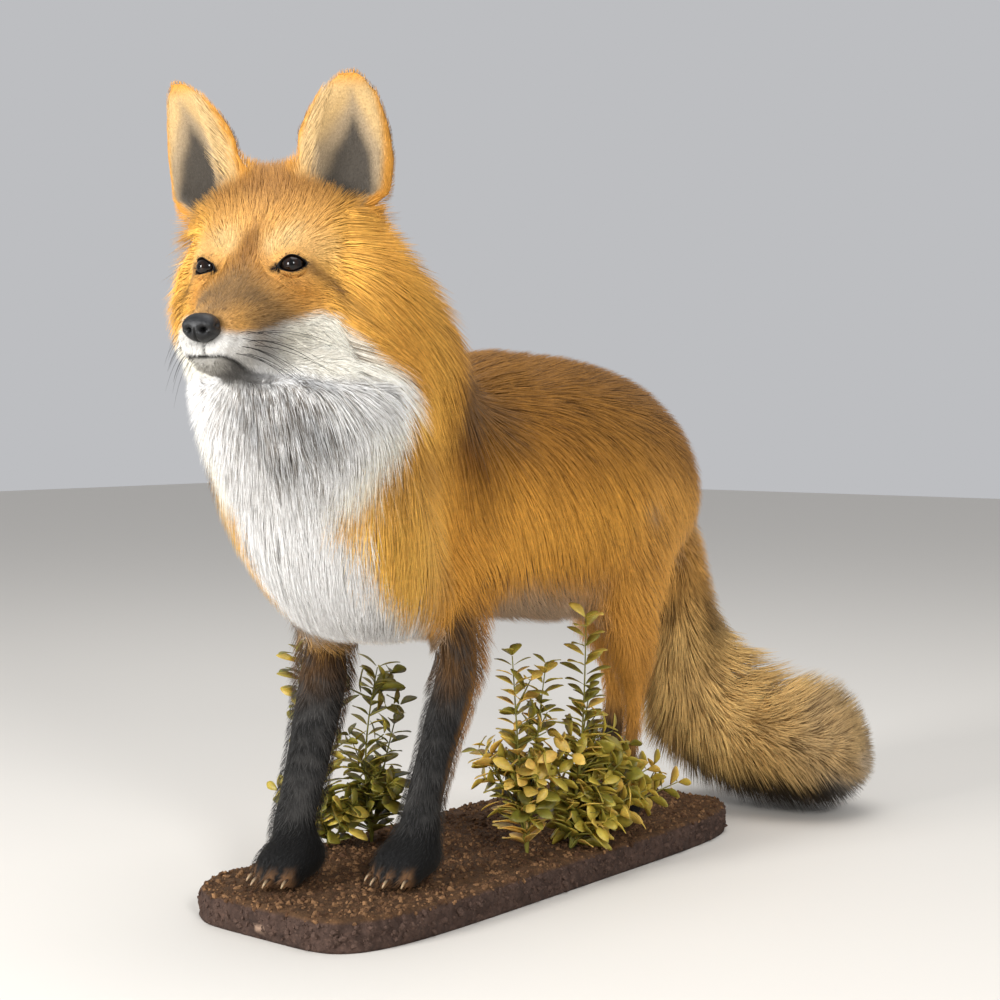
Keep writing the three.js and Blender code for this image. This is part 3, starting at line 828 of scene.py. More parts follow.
def lieOfCoat(points, normals, part):
    h = inHead(points)
    s = bothSides(h)
    hand = np.sign(h[:, 1])[:, None]
    outward = headLeft * hand
    top = fade(normals[:, 2], 0.1, 0.75)[:, None]
    still = np.zeros((len(points), 3))
    # head: back from the nose, up the brow, back and down the cheeks
    fromNose = unit(points - fromHead([(74, 0, -38)])[0])
    cheek = (fade(s[:, 1], 30, 58) * fade(s[:, 0], 20, -20))[:, None]
    chin = fade(s[:, 2], -52, -76)[:, None]
    crown = fade(s[:, 2], 30, 62)[:, None]
    head = turned(fromNose + still, unit(outward * 0.32 - headForward * 0.55 - headUp * 0.78), cheek)
    head = turned(head, unit(-headForward + headUp * 0.1), crown)
    head = turned(head, unit(-headUp - headForward * 0.25 + outward * 0.12), chin)
    jaw = (fade(s[:, 2], mouthLine(s[:, 0]) + 2, mouthLine(s[:, 0]) - 2) * fade(s[:, 2], -84, -78))[:, None]
    head = turned(head, unit(outward * 0.25 - headForward * 0.9 - headUp * 0.2), jaw)
    for side in ("left", "right"):
        away = points - np.array(eyeMiddle[side])
        close = (0.8 * fade(np.linalg.norm(away, axis=-1), 0.024, 0.009))[:, None]
        head = turned(unit(head), unit(unit(away) - headForward * 0.3), close)
    # ears: towards the tip
    ears = headUp + 0.12 * outward + still
    # neck: down the nape on top, down at the sides and front
    neck = np.array([0, 0.80, -0.60]) * top + unit(np.array([0, 0.16, -1.0]) + still) * (1 - top)
    ledge = (fade(normals[:, 2], -0.1, 0.4) * fade(points[:, 1], -0.165, -0.20))[:, None]
    neck = turned(neck, unit(headForward * 0.8 - headUp * 0.5 + outward * 0.35), ledge)
    trunk = np.array([0, 1.0, -0.05]) * top + unit(np.array([0, 0.42, -1.0]) + still) * (1 - top)
    under = fade(normals[:, 2], -0.35, -0.8)[:, None]
    trunk = turned(trunk, np.array([0, 0.85, -0.5]), under)
    legs = np.array([0, 0.10, -1.0]) + still
    paws = unit(np.array([0, -0.9, -0.55]) + still)
    _, way, _ = alongTail(points)
    ways = dict(head=head, neck=neck, trunk=trunk, ears=ears, tail=way)
    ways.update(forelegs=legs, hindlegs=legs, paws=paws)
    lie = sum(part[name][:, None] * unit(ways[name]) for name in groupNames)
    lie = lie - normals * (lie * normals).sum(-1, keepdims=True)
    return unit(lie)


lie = lieOfCoat(inner, calmNormals, part)
lie = unit(softened(lie, edges, 8, 0.6))
outerNormals = unit(softened(normalsOf(outer, tris), edges, 8, 0.6))
standOff = np.linalg.norm(outer - inner, axis=-1)
deepCoat = fade(standOff, 9 * mm, 15 * mm)[:, None]
lie = unit(lie * (1 - deepCoat) + unit(softened(lie, edges, 50, 0.6)) * deepCoat)
skinColour, _ = markings(outer, outerNormals, part)
# long hair shows the colour of the place it lies over, not only of its root
overhang = np.clip(1.25 * (standOff - 4 * mm), 0, 28 * mm)[:, None]
hairColour, hairPepper = markings(outer + lie * overhang, outerNormals, part)
report("lie and markings worked out")


# materials

def newMaterial(name):
    material = bpy.data.materials.new(name)
    material.use_nodes = True
    return material, material.node_tree, material.node_tree.nodes["Principled BSDF"]


def shownSocket(sockets, name):
    return [socket for socket in sockets if socket.name == name and socket.enabled][0]


def feed(tree, socket, value):  # a link from another node, or a plain value
    if hasattr(value, "links"):
        tree.links.new(value, socket)
    else:
        socket.default_value = value


def addNode(tree, kind, settings=None, **inputs):  # a node with its settings and named inputs filled in
    node = tree.nodes.new(kind)
    for key, value in (settings or {}).items():
        setattr(node, key, value)
    for key, value in inputs.items():
        feed(tree, shownSocket(node.inputs, key), value)
    return node


def mixNode(tree, blend, share, a, b):
    node = addNode(tree, "ShaderNodeMix", dict(data_type="RGBA", blend_type=blend), Factor=share, A=a, B=b)
    return shownSocket(node.outputs, "Result")


def rampNode(tree, source, stops):
    node = tree.nodes.new("ShaderNodeValToRGB")
    ramp = node.color_ramp
    while len(ramp.elements) < len(stops):
        ramp.elements.new(0.5)
    for element, (place, colour) in zip(ramp.elements, stops):
        element.position = place
        element.color = (*colour, 1)
    tree.links.new(source, node.inputs[0])
    return node.outputs[0]


def noiseNode(tree, scale, detail=3.0, roughness=0.55, stretch=(1, 1, 1)):
    place = addNode(tree, "ShaderNodeTexCoord").outputs["Object"]
    place = addNode(tree, "ShaderNodeMapping", Vector=place, Scale=stretch).outputs[0]
    noise = addNode(tree, "ShaderNodeTexNoise", Vector=place, Scale=scale, Detail=detail, Roughness=roughness)
    return noise.outputs["Fac"]


def bumpFrom(tree, shader, height, strength, distance):
    bump = addNode(tree, "ShaderNodeBump", Strength=strength, Distance=distance, Height=height)
    tree.links.new(bump.outputs[0], shader.inputs["Normal"])


def paintedMaterial(name, paint, share, noise, stops, finish):  # a painted colour broken up by fine noise
    material, tree, shader = newMaterial(name)
    source = addNode(tree, "ShaderNodeAttribute", dict(attribute_name=paint)).outputs["Color"]
    flecks = rampNode(tree, noiseNode(tree, *noise), stops)
    tree.links.new(mixNode(tree, "MULTIPLY", share, source, flecks), shader.inputs["Base Color"])
    for socket, value in finish.items():
        shader.inputs[socket].default_value = value
    return material, tree, shader


def coatMaterial(name, roughness, sheen, grain):
    stops = [(0.3, (0.80, 0.78, 0.76)), (0.7, (1.14, 1.14, 1.14))]
    finish = {"Roughness": roughness, "Specular IOR Level": 0.26, "Sheen Weight": sheen,
              "Sheen Roughness": 0.45, "Sheen Tint": (1.0, 0.86, 0.70, 1)}
    material, tree, shader = paintedMaterial(name, "coatPaint", 0.8, (grain, 2.0), stops, finish)
    bumpFrom(tree, shader, noiseNode(tree, grain * 2.4, 2.0), 0.25, 0.0006)
    return material


materials = dict(
    skin=coatMaterial("furUnder", 0.85, 0.05, 700),
    coat=coatMaterial("furStrands", 0.55, 0.08, 260),
    sleek=coatMaterial("furSleek", 0.45, 0.05, 320),
)


# the skin piece, unwrapped for its own colours

def skinPiece():
    mesh = meshOf("foxSkin", inner, tris)
    # the skin under the coat is darkened: partly the darker undercoat, partly painted shade deep in the coat
    paintPoints(mesh, "coatPaint", skinColour * 0.82)
    piece = pieceOf("foxSkin", mesh, materials["skin"])
    mesh.uv_layers.new(name="OFBake")
    bpy.context.view_layer.objects.active = piece
    piece.select_set(True)
    bpy.ops.object.mode_set(mode="EDIT")
    bpy.ops.mesh.select_all(action="SELECT")
    bpy.ops.uv.smart_project(angle_limit=math.radians(66), island_margin=0.002)
    bpy.ops.object.mode_set(mode="OBJECT")
    piece.select_set(False)
    spread = np.zeros(len(mesh.loops) * 2, np.float32)
    mesh.uv_layers["OFBake"].data.foreach_get("uv", spread)
    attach(piece, "root")
    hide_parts(*fleshNodes)
    return spread.reshape(-1, 3, 2)


skinSpread = skinPiece()
report("skin unwrapped")


# the coat: closed tapering tufts from the skin to the coat's own outline

coat = dict(
    patch=0.0015,
    longest=74 * mm,
    locks=11,
    pull=0.14,
    lockShade=0.10,
    thinWhenQuick=0.35,
    crisp=0.42,
    stations=(0.40, 1.0),
    rooted=0.4 * mm,
    wobble=0.15,
    guardShare=0.68,
    guard=(0.84, 1.03),
    under=(0.45, 0.85),
    fringe=(6, 17),
    seed=41,
    pieces=dict(
        coatFace=dict(count=33000, slot="fur_red", strand="sleek", seed=1),
        coatHead=dict(count=30000, slot="fur_red", strand="coat", seed=2),
        coatEars=dict(count=12000, slot="fur_red", strand="sleek", seed=3),
        coatBib=dict(count=28000, slot="fur_white", strand="coat", seed=4),
        coatNeck=dict(count=30000, slot="fur_red", strand="coat", seed=5),
        coatTrunkLeft=dict(count=30000, slot="fur_red", strand="coat", seed=6),
        coatTrunkRight=dict(count=26000, slot="fur_red", strand="coat", seed=7),
        coatTail=dict(count=31000, slot="fur_brush", strand="coat", seed=8),
        coatLegs=dict(count=25000, slot="fur_black", strand="sleek", seed=9),
    ),
)


def shareOut():  # which coat piece each triangle of the skin belongs to
    middle = outer[tris].mean(1)
    h = inHead(middle)
    s = bothSides(h)
    of = {name: value[tris].mean(1) for name, value in part.items()}
    best = np.stack([of[name] for name in groupNames], -1).argmax(1)
    names = list(coat["pieces"])
    home = np.full(len(tris), names.index("coatNeck"))
    isHead = best == groupNames.index("head")
    short = standOff[tris].mean(1) < 11.5 * mm
    home[isHead] = names.index("coatHead")
    home[isHead & short & (s[:, 0] > -60)] = names.index("coatFace")
    home[best == groupNames.index("ears")] = names.index("coatEars")
    isTrunk = best == groupNames.index("trunk")
    home[isTrunk & (middle[:, 0] >= bodyMiddle * mm)] = names.index("coatTrunkLeft")
    home[isTrunk & (middle[:, 0] < bodyMiddle * mm)] = names.index("coatTrunkRight")
    home[best == groupNames.index("tail")] = names.index("coatTail")
    for leg in ("forelegs", "hindlegs", "paws"):
        home[best == groupNames.index(leg)] = names.index("coatLegs")
    z = middle[:, 2] / mm
    back = np.interp(z, bib["heights"], bib["backs"])
    off = np.abs(middle[:, 0] / mm - 16)
    chest = (middle[:, 1] / mm < back) & (off < 78) & (s[:, 2] < -74)
    home[chest & (isHead | (best == groupNames.index("neck")))] = names.index("coatBib")
    return home


def toNearerEye(points):
    return np.minimum(*(np.linalg.norm(points - np.array(eyeMiddle[side]), axis=-1) for side in eyeMiddle))


def hairShare():  # 1 where hair grows, 0 at the eyes, nose, lips and soles
    h = inHead(inner)
    s = bothSides(h)
    grows = np.ones(len(inner))
    for side in ("left", "right"):
        middle, gaze, across, rise = eyeAxes(side)
        away = (inner - middle) / mm
        ring = almond(away @ across, away @ rise)
        grows *= 1 - fade(ring, 1.10, 1.02) * (np.abs(away @ gaze) < 14)
    mouth = mouthLine(s[:, 0])
    grows *= 1 - np.exp(-((s[:, 2] - mouth) / 1.2) ** 2) * fade(s[:, 0], 20, 26) * (s[:, 1] < 26)
    grows *= 1 - splitLip(s)
    grows *= 1 + 2.2 * fade(toNearerEye(inner), 0.021, 0.013)
    grows *= fade(np.linalg.norm((s - [66, 0, -43]) / [9, 13.5, 11.5], axis=-1), 0.94, 1.04)
    grows *= 1 - part["paws"] * fade(innerNormals[:, 2], -0.55, -0.8)
    return grows


def fringeOfEars():  # long pale hairs that sweep over the hollow from its inner edge
    h = inHead(inner)
    place = earPlace(h)
    facing = fade(innerNormals @ headForward, 0.05, 0.4)
    inward = fade(place, -0.30, -0.55) * fade(np.abs(place), 0.97, 0.9)
    outward = fade(place, 0.62, 0.78) * fade(np.abs(place), 0.97, 0.9) * 0.4
    mask = (inward + outward) * facing * fade(h[:, 2], 44, 56) * fade(h[:, 2], 122, 104)
    mask = mask * fade(part["ears"], 0.5, 0.8)
    hand = np.sign(h[:, 1])[:, None]
    aside = np.where(place < 0, 0.75, -0.35)[:, None]
    return mask, unit(headLeft * hand * aside + headUp * 0.8 + headForward * 0.18)


home = shareOut()
grows = hairShare()
earFringe, earSweep = fringeOfEars()
skinTree = BVHTree.FromPolygons(inner.tolist(), tris.tolist())
innerMiddle, outerMiddle = inner[tris].mean(1), outer[tris].mean(1)
rise = outerMiddle - innerMiddle
lieMiddle = unit(lie[tris].mean(1))


def followSkin(points):
    found = [skinTree.find_nearest(point) for point in points]
    place = np.array([hit[0] for hit in found])
    return place, np.array([hit[2] for hit in found])


def scattered(mine, dice, count):  # places on some of the skin's triangles, closer where hair is short
    a, b, c = outer[tris[mine, 0]], outer[tris[mine, 1]], outer[tris[mine, 2]]
    area = np.linalg.norm(np.cross(b - a, c - a), axis=-1) * grows[tris[mine]].mean(1)
    area = area / (0.6 + standOff[tris[mine]].mean(1) / (16 * mm))
    ladder = np.cumsum(area) / area.sum()
    steps = (np.arange(count) + dice.random(count)) / count
    picked = mine[np.searchsorted(ladder, steps).clip(0, len(mine) - 1)]
    u, v = dice.random(count), dice.random(count)
    flip = u + v > 1
    u[flip], v[flip] = 1 - u[flip], 1 - v[flip]
    return picked, np.stack([1 - u - v, u, v], -1)


def hairLength(across, root, off):  # by how far the coat stands off, and shorter on face, ears and feet
    s = bothSides(inHead(root))
    inFace = across(part["head"]) * (s[:, 2] > -82)
    nearLips = np.exp(-((s[:, 2] - mouthLine(s[:, 0])) / 5) ** 2)
    ears, paws, forelegs = across(part["ears"]), across(part["paws"]), across(part["forelegs"])
    full = np.minimum(4.6 * mm + 1.85 * off, coat["longest"])
    full = full * (1 - 0.2 * paws - 0.62 * ears - 0.12 * forelegs)
    full = full * (1 - 0.5 * fade(toNearerEye(root), 0.022, 0.012))
    full = full * (1 - 0.42 * inFace * fade(s[:, 0], 4, 30))
    full = full * (1 - 0.45 * inFace * fade(s[:, 0], 12, 20) * nearLips)
    return full * (1 - 0.35 * inFace * fade(s[:, 2], 30, 56))


def strandPath(root, up, way, slant, reach, layer, onSkin):  # root, middle and tip of every tuft
    path, heading, foot, before = [root - up * coat["rooted"]], way, root, 0.0
    for share in coat["stations"]:
        ahead = foot + heading * (slant * (share - before))[:, None]
        if onSkin:
            foot, face = followSkin(ahead)
            normal = unit(rise[face])
            heading = unit(heading * 0.45 + lieMiddle[face] * 0.55)
            heading = unit(heading - normal * (heading * normal).sum(-1, keepdims=True))
            tall = rise[face] * (layer * (1 - (1 - share) ** 1.7))[:, None]
        else:
            foot = ahead
            tall = up * (reach * (1 - (1 - share) ** 1.6))[:, None]
        path.append(foot + tall)
        before = share
    return path


def lockLeaders(out, count):  # neighbouring tufts share a leader
    leaders = np.arange(0, count, coat["locks"])
    tree = KDTree(len(leaders))
    for number, leader in enumerate(leaders):
        tree.insert(out[leader], number)
    tree.balance()
    return leaders[[tree.find(point)[1] for point in out]]


def growTufts(name):
    plan = coat["pieces"][name]
    dice = np.random.default_rng(coat["seed"] + plan["seed"])
    count = int(plan["count"] * (1))
    picked, bary = scattered(np.where(home == list(coat["pieces"]).index(name))[0], dice, count)

    def across(values):
        shares = bary[..., None] if values.ndim > 1 else bary
        return (values[tris[picked]] * shares).sum(1)

    root, out, way = across(inner), across(outer), across(lie)
    off = np.linalg.norm(out - root, axis=-1)
    up = unit(across(outerNormals) * 0.5 + unit(out - root) * 0.5)
    wobble = ripple(out, 0.022, 21) * 0.12 + ripple(out, 0.06, 22) * 0.12
    wobble = wobble + dice.normal(0, coat["wobble"], count)
    way = unit(way * np.cos(wobble)[:, None] + np.cross(up, way) * np.sin(wobble)[:, None])
    isGuard = dice.random(count) < coat["guardShare"]
    layer = np.where(isGuard, dice.uniform(*coat["guard"], count), dice.uniform(*coat["under"], count))
    # the fringe of the ears is longer and sweeps its own way
    fringe = across(earFringe)
    full = hairLength(across, root, off) + fringe * dice.uniform(*coat["fringe"], count) * mm
    way = unit(way * (1 - fringe[:, None]) + fringe[:, None] * across(earSweep))
    size = full * layer * dice.uniform(0.86, 1.12, count)
    # the tail's hair lies closer towards its end
    tail = across(part["tail"])
    tailShare, _, _ = alongTail(out)
    layer = layer * (1 + tail * (0.12 - 0.2 * fade(tailShare, 0.78, 0.98)))
    reach = off * layer
    slant = np.sqrt(np.maximum(size ** 2 - reach ** 2, (0.35 * size) ** 2))
    spread = (29 * mm) * (1 - 0.8 * fade(tailShare, 0.74, 0.98))
    slant = np.where(tail > 0.5, np.minimum(slant, spread), slant)
    long = plan["strand"] == "coat"
    path = strandPath(root, up, way, slant, reach, layer, long and name != "coatTail")
    if long:  # neighbouring tufts draw together at the ends
        lead = lockLeaders(out, count)
        pull = coat["pull"] * dice.uniform(0.2, 1.3, count)[:, None]
        path[-1] = path[-1] + (path[-1][lead] - path[-1]) * pull
        shade = 1 + coat["lockShade"] * dice.normal(0, 1, count)[lead]
        lockDraw = dice.random(count)[lead]
    else:
        shade, lockDraw = np.ones(count), dice.random(count)
    for stop in path:
        stop[:, 2] = np.maximum(stop[:, 2], 0.6 * mm)
    return dict(
        path=path, up=up, broad=(0.13 * mm + 0.0045 * size) * dice.uniform(0.75, 1.25, count),
        lean=across(outerNormals), paint=across(hairColour) * np.clip(shade, 0.6, 1.4)[:, None],
        pepper=across(hairPepper), lockDraw=lockDraw, dice=dice,
        uv=(skinSpread[picked] * bary[..., None]).sum(1),
    )


tuft = dict(
    corners=((0, 2, 1), (1, 2, 4), (0, 3, 2), (2, 3, 4), (0, 1, 3), (3, 1, 4)),  # root, a ring of three, tip
    # root darker as painted shade deep in the coat, over the hair's own darker base; a little lighter at the
    # tip
    rootShadeAndTipTone=(0.62, 0.98, 0.98, 0.98, 1.10),
    patch=((0, -1), (1, 0), (0, 0), (-1, 0), (0, 1)),
)


def tuftMesh(name, tufts):  # each tuft is a closed spindle on three stations: root, middle and tip
    (root, middle, tip), dice = tufts["path"], tufts["dice"]
    count, perTuft = len(tufts["broad"]), len(tuft["rootShadeAndTipTone"])
    along = unit(tip - root)
    sideways = unit(np.cross(tufts["up"], along) + 1e-9)
    raised = unit(np.cross(along, sideways))
    half = tufts["broad"][:, None]
    points = np.stack([
        root,
        middle + sideways * half - raised * half * 0.3,
        middle + raised * half * 0.6,
        middle - sideways * half - raised * half * 0.3,
        tip,
    ], 1)
    corners = (np.arange(count)[:, None, None] * perTuft + np.array(tuft["corners"])[None]).reshape(-1, 3)
    points = points.reshape(-1, 3)
    mesh = meshOf(name, points, corners)
    body = np.repeat(tufts["lean"], perTuft, axis=0)
    shown = unit(normalsOf(points, corners) * coat["crisp"] + body * (1 - coat["crisp"]))
    mesh.normals_split_custom_set_from_vertices(shown.tolist())
    # colour: darker at the root, as painted shade deep in the coat over the hair's own darker base; some tufts
    # dark to the tip
    paint = tufts["paint"] * dice.uniform(0.84, 1.14, count)[:, None]
    isDark = np.where(dice.random(count) < 0.5, dice.random(count), tufts["lockDraw"]) < tufts["pepper"]
    colours = paint[:, None, :] * np.array(tuft["rootShadeAndTipTone"])[None, :, None]
    dusk = paint * [0.34, 0.31, 0.28]
    colours[:, 1:] = np.where(isDark[:, None, None], dusk[:, None, :], colours[:, 1:])
    paintPoints(mesh, "coatPaint", np.clip(colours, 0, 1).reshape(-1, 3))
    # each tuft has a small patch of the skin's own map, at its root
    patch = tufts["uv"][:, None, :] + np.array(tuft["patch"])[None] * coat["patch"]
    layer = mesh.uv_layers.new(name="OFBake")
    layer.data.foreach_set("uv", patch.reshape(-1, 2)[corners.ravel()].astype(np.float32).ravel())
    return mesh


for name, plan in coat["pieces"].items():
    mesh = tuftMesh(name, growTufts(name))
    piece = pieceOf(name, mesh, materials[plan["strand"]])
    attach(piece, "root")
    report(f"{name}: {len(mesh.polygons)} triangles")


# eyes: dark glass, set under the lids

eye = dict(rings=26, around=40, cornea=0.55, iris=0.62, pupil=(0.24, 0.40))


def gridCorners(rows, around):  # triangles of a closed grid of rings
    ring, step = np.meshgrid(np.arange(rows - 1), np.arange(around), indexing="ij")
    a = (ring * around + step).ravel()
    b = (ring * around + (step + 1) % around).ravel()
    return np.concatenate([np.stack([a, b, b + around], -1), np.stack([a, b + around, a + around], -1)])


def facedOut(points, corners):
    a, b, c = (points[corners[:, k]] for k in range(3))
    inside = (a * np.cross(b, c)).sum() < 0
    return points, corners[:, ::-1] if inside else corners


def cappedTube(rings):  # rings: (rows, around, 3); both ends closed by a middle point
    rows, around, _ = rings.shape
    points = np.concatenate([rings.reshape(-1, 3), rings[0].mean(0)[None], rings[-1].mean(0)[None]])
    step = np.arange(around)
    nextStep = (step + 1) % around
    first, last = rows * around, rows * around + 1
    low = np.stack([np.full(around, first), nextStep, step], -1)
    high = np.stack([np.full(around, last), (rows - 1) * around + step, (rows - 1) * around + nextStep], -1)
    return facedOut(points, np.concatenate([gridCorners(rows, around), low, high]))


def outwards(mesh):
    shape = bmesh.new()
    shape.from_mesh(mesh)
    bmesh.ops.recalc_face_normals(shape, faces=shape.faces)
    shape.to_mesh(mesh)
    shape.free()
    return mesh


def joined(parts):  # parts: (points, corners) pairs in one pair
    points, corners, start = [], [], 0
    for place, faces in parts:
        points.append(place)
        corners.append(faces + start)
        start += len(place)
    return np.concatenate(points), np.concatenate(corners)


def eyeMaterial():
    stops = [(0.35, (0.55, 0.55, 0.55)), (0.7, (1.2, 1.15, 1.1))]
    finish = {"Roughness": 0.02, "Specular IOR Level": 0.34}
    material, tree, shader = paintedMaterial("eyeGlass", "irisPaint", 0.8, (1400, 2.0), stops, finish)
    bumpFrom(tree, shader, noiseNode(tree, 90, 1.0), 0.02, 0.0002)
    return material


def eyeball(side, material):
    middle, gaze, across, rise = eyeAxes(side)
    tilt = np.linspace(0.02, math.pi - 0.02, eye["rings"])
    turn = np.linspace(0, 2 * math.pi, eye["around"], endpoint=False)
    out = np.sin(tilt)[:, None, None] * (
        np.cos(turn)[None, :, None] * across + np.sin(turn)[None, :, None] * rise
    )
    swell = eyeRadius + eye["cornea"] * mm * fade(tilt, 0.75, 0.15)
    rings = middle + (out + np.cos(tilt)[:, None, None] * gaze) * swell[:, None, None]
    points, corners = cappedTube(rings)
    mesh = meshOf("eye_" + side, points, corners)
    away = (points - middle) / eyeRadius
    a, b, high = away @ across, away @ rise, away @ gaze
    flat = np.hypot(a, b)
    colour = np.tile(tone(12, 9, 8), (len(points), 1))
    colour = blended(colour, tone(34, 20, 12), fade(flat, eye["iris"] + 0.06, eye["iris"] - 0.06))
    colour = blended(colour, tone(18, 11, 8), fade(flat, eye["iris"] - 0.14, eye["iris"]))
    pupil = np.hypot(a / eye["pupil"][0], b / eye["pupil"][1])
    colour = blended(colour, tone(4, 4, 4), fade(pupil, 1.25, 0.95))
    colour = np.where(high[:, None] < 0, tone(16, 12, 10), colour)
    paintPoints(mesh, "irisPaint", colour)
    piece = pieceOf("glassEye_" + side, mesh, material)
    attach(piece, "root")
    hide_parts("eye_" + side)


lidRim = dict(around=72, sides=8, thick=0.24, corner=0.5)


def hideMaterial(name, colour, rough, grain):
    material, tree, shader = newMaterial(name)
    stops = [(0.3, tuple(colour * 0.75)), (0.7, tuple(colour * 1.3))]
    base = rampNode(tree, noiseNode(tree, grain, 3.0), stops)
    tree.links.new(base, shader.inputs["Base Color"])
    shader.inputs["Roughness"].default_value = rough
    shader.inputs["Specular IOR Level"].default_value = 0.22
    bumpFrom(tree, shader, noiseNode(tree, grain * 2, 2.0), 0.35, 0.0003)
    return material


def eyeRims(material):
    parts = []
    for side in ("left", "right"):
        middle, gaze, across, rise = eyeAxes(side)
        turn = np.linspace(0, 2 * math.pi, lidRim["around"], endpoint=False)
        power = 2 / lids["point"]
        a = lids["wide"] * np.sign(np.cos(turn)) * np.abs(np.cos(turn)) ** power
        tall = np.where(np.sin(turn) > 0, lids["upper"], lids["lower"])
        b = tall * np.sign(np.sin(turn)) * np.abs(np.sin(turn)) ** power
        shell = eyeRadius / mm + lids["thick"] - 0.25
        flat = np.minimum(np.hypot(a, b), shell * 0.965)
        high = np.sqrt(shell ** 2 - flat ** 2)
        inner = fade(-a, 4, lids["wide"])
        thick = lidRim["thick"] + (lidRim["corner"] - lidRim["thick"]) * inner
        place = middle + (a[:, None] * across + b[:, None] * rise + high[:, None] * gaze) * mm
        along = unit(np.roll(place, -1, 0) - np.roll(place, 1, 0))
        away = unit(place - middle)
        sideways = unit(np.cross(along, away))
        spin = np.linspace(0, 2 * math.pi, lidRim["sides"], endpoint=False)
        ring = place[:, None] + (
            np.cos(spin)[None, :, None] * sideways[:, None] + np.sin(spin)[None, :, None] * away[:, None]
        ) * (thick * mm)[:, None, None]
        rows, sides = ring.shape[:2]
        corners = gridCorners(rows + 1, sides) % (rows * sides)
        parts.append(facedOut(ring.reshape(-1, 3), corners))
    points, corners = joined(parts)
    piece = pieceOf("eyeRims", meshOf("eyeRims", points, corners), material)
    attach(piece, "root")


glass = eyeMaterial()
for side in ("left", "right"):
    eyeball(side, glass)
eyeRims(hideMaterial("lidSkin", tone(12, 10, 10), 0.6, 500))


# nose: a pebbled pad with two comma nostrils

noseShape = dict(middle=(62.5, 0, -42.6), half=(9.8, 11.6, 9.2), boxy=2.45, rings=90, around=120)


def nosePad():
    tilt = np.linspace(0.02, math.pi - 0.02, noseShape["rings"])
    turn = np.linspace(0, 2 * math.pi, noseShape["around"], endpoint=False)
    way = np.stack(np.broadcast_arrays(
        np.cos(tilt)[:, None], np.sin(tilt)[:, None] * np.cos(turn), np.sin(tilt)[:, None] * np.sin(turn)
    ), -1)
    power = noseShape["boxy"]
    way = way / (np.abs(way) ** power).sum(-1, keepdims=True) ** (1 / power)
    place = np.array(noseShape["middle"]) + way * np.array(noseShape["half"])
    f, u = place[..., 0], place[..., 2]
    lean = (u + 43) * 0.10  # the pad's top leans back
    place[..., 0] -= np.maximum(lean, 0) * fade(f, 58, 66)
    place[..., 1] *= 1 - 0.32 * fade(u, -45, -54) - 0.06 * fade(u, -40, -32)
    flat = place.reshape(-1, 3)
    rings = fromHead(flat).reshape(place.shape)
    points, corners = cappedTube(rings)
    mesh = meshOf("nosePad", points, corners)
    h = inHead(points)
    s = bothSides(h)
    front = fade(s[:, 0], 62, 68)
    hole = spot(s * [0, 1, 1], (0, 5.6, -44.6), (1, 2.5, 2.2)) * front
    slit = stripe(s, (70, 7.4, -44.2), (62, 12.2, -40.8), 1.15)
    slit += 0.7 * stripe(s, (71, 5.6, -44.6), (67, 9.8, -47.4), 1.0)
    groove = np.exp(-(s[:, 1] / 0.75) ** 2) * fade(s[:, 2], -42, -46) * fade(s[:, 0], 60, 66)
    wing = spot(s, (68, 8.6, -42.0), (5, 2.4, 3.4)) * 0.9
    normals = normalsOf(points, corners)
    move = wing - 5.0 * hole * (1 - 0.2 * slit) - 1.7 * np.clip(slit, 0, 1) - 1.3 * groove
    points = points + normals * (move * mm)[:, None]
    mesh.vertices.foreach_set("co", points.astype(np.float32).ravel())
    colour = np.tile(tone(23, 23, 25), (len(points), 1))
    # painted shade: the pad darker towards its bottom, lit grey on top
    colour = blended(colour, tone(12, 12, 13), fade(s[:, 2], -38, -50))
    colour = blended(colour, tone(8, 8, 8), np.clip(1.3 * hole + 0.9 * slit + 0.7 * groove, 0, 1))
    paintPoints(mesh, "nosePaint", colour)
    return mesh


def noseMaterial():
    stops = [(0.3, (0.7, 0.7, 0.7)), (0.72, (1.25, 1.25, 1.28))]
    finish = {"Roughness": 0.42, "Specular IOR Level": 0.34, "Coat Weight": 0.12, "Coat Roughness": 0.35}
    material, tree, shader = paintedMaterial("nosePebble", "nosePaint", 0.9, (700, 3.0), stops, finish)
    place = addNode(tree, "ShaderNodeTexCoord").outputs["Object"]
    cells = dict(feature="DISTANCE_TO_EDGE")
    pebble = addNode(tree, "ShaderNodeTexVoronoi", cells, Scale=900.0, Vector=place)
    bumpFrom(tree, shader, pebble.outputs["Distance"], 0.5, 0.0006)
    return material


nose = pieceOf("nosePad", nosePad(), noseMaterial())
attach(nose, "root")
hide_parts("nose")


# whiskers

whiskers = dict(rows=4, perRow=4, root=0.20, long=(48, 84), segments=9, seed=77)


def taperedHair(path, thick, sides=4):  # a closed hair, round at the root and fine at the end
    along = unit(np.gradient(path, axis=0))
    sideways = unit(np.cross(along, [0.3, 0.2, 1.0]))
    raised = np.cross(sideways, along)
    spin = np.linspace(0, 2 * math.pi, sides, endpoint=False)
    radius = thick * (1 - np.linspace(0, 1, len(path)) ** 1.4 * 0.86)
    rings = path[:, None] + radius[:, None, None] * (
        np.cos(spin)[None, :, None] * sideways[:, None] + np.sin(spin)[None, :, None] * raised[:, None]
    )
    return cappedTube(rings)


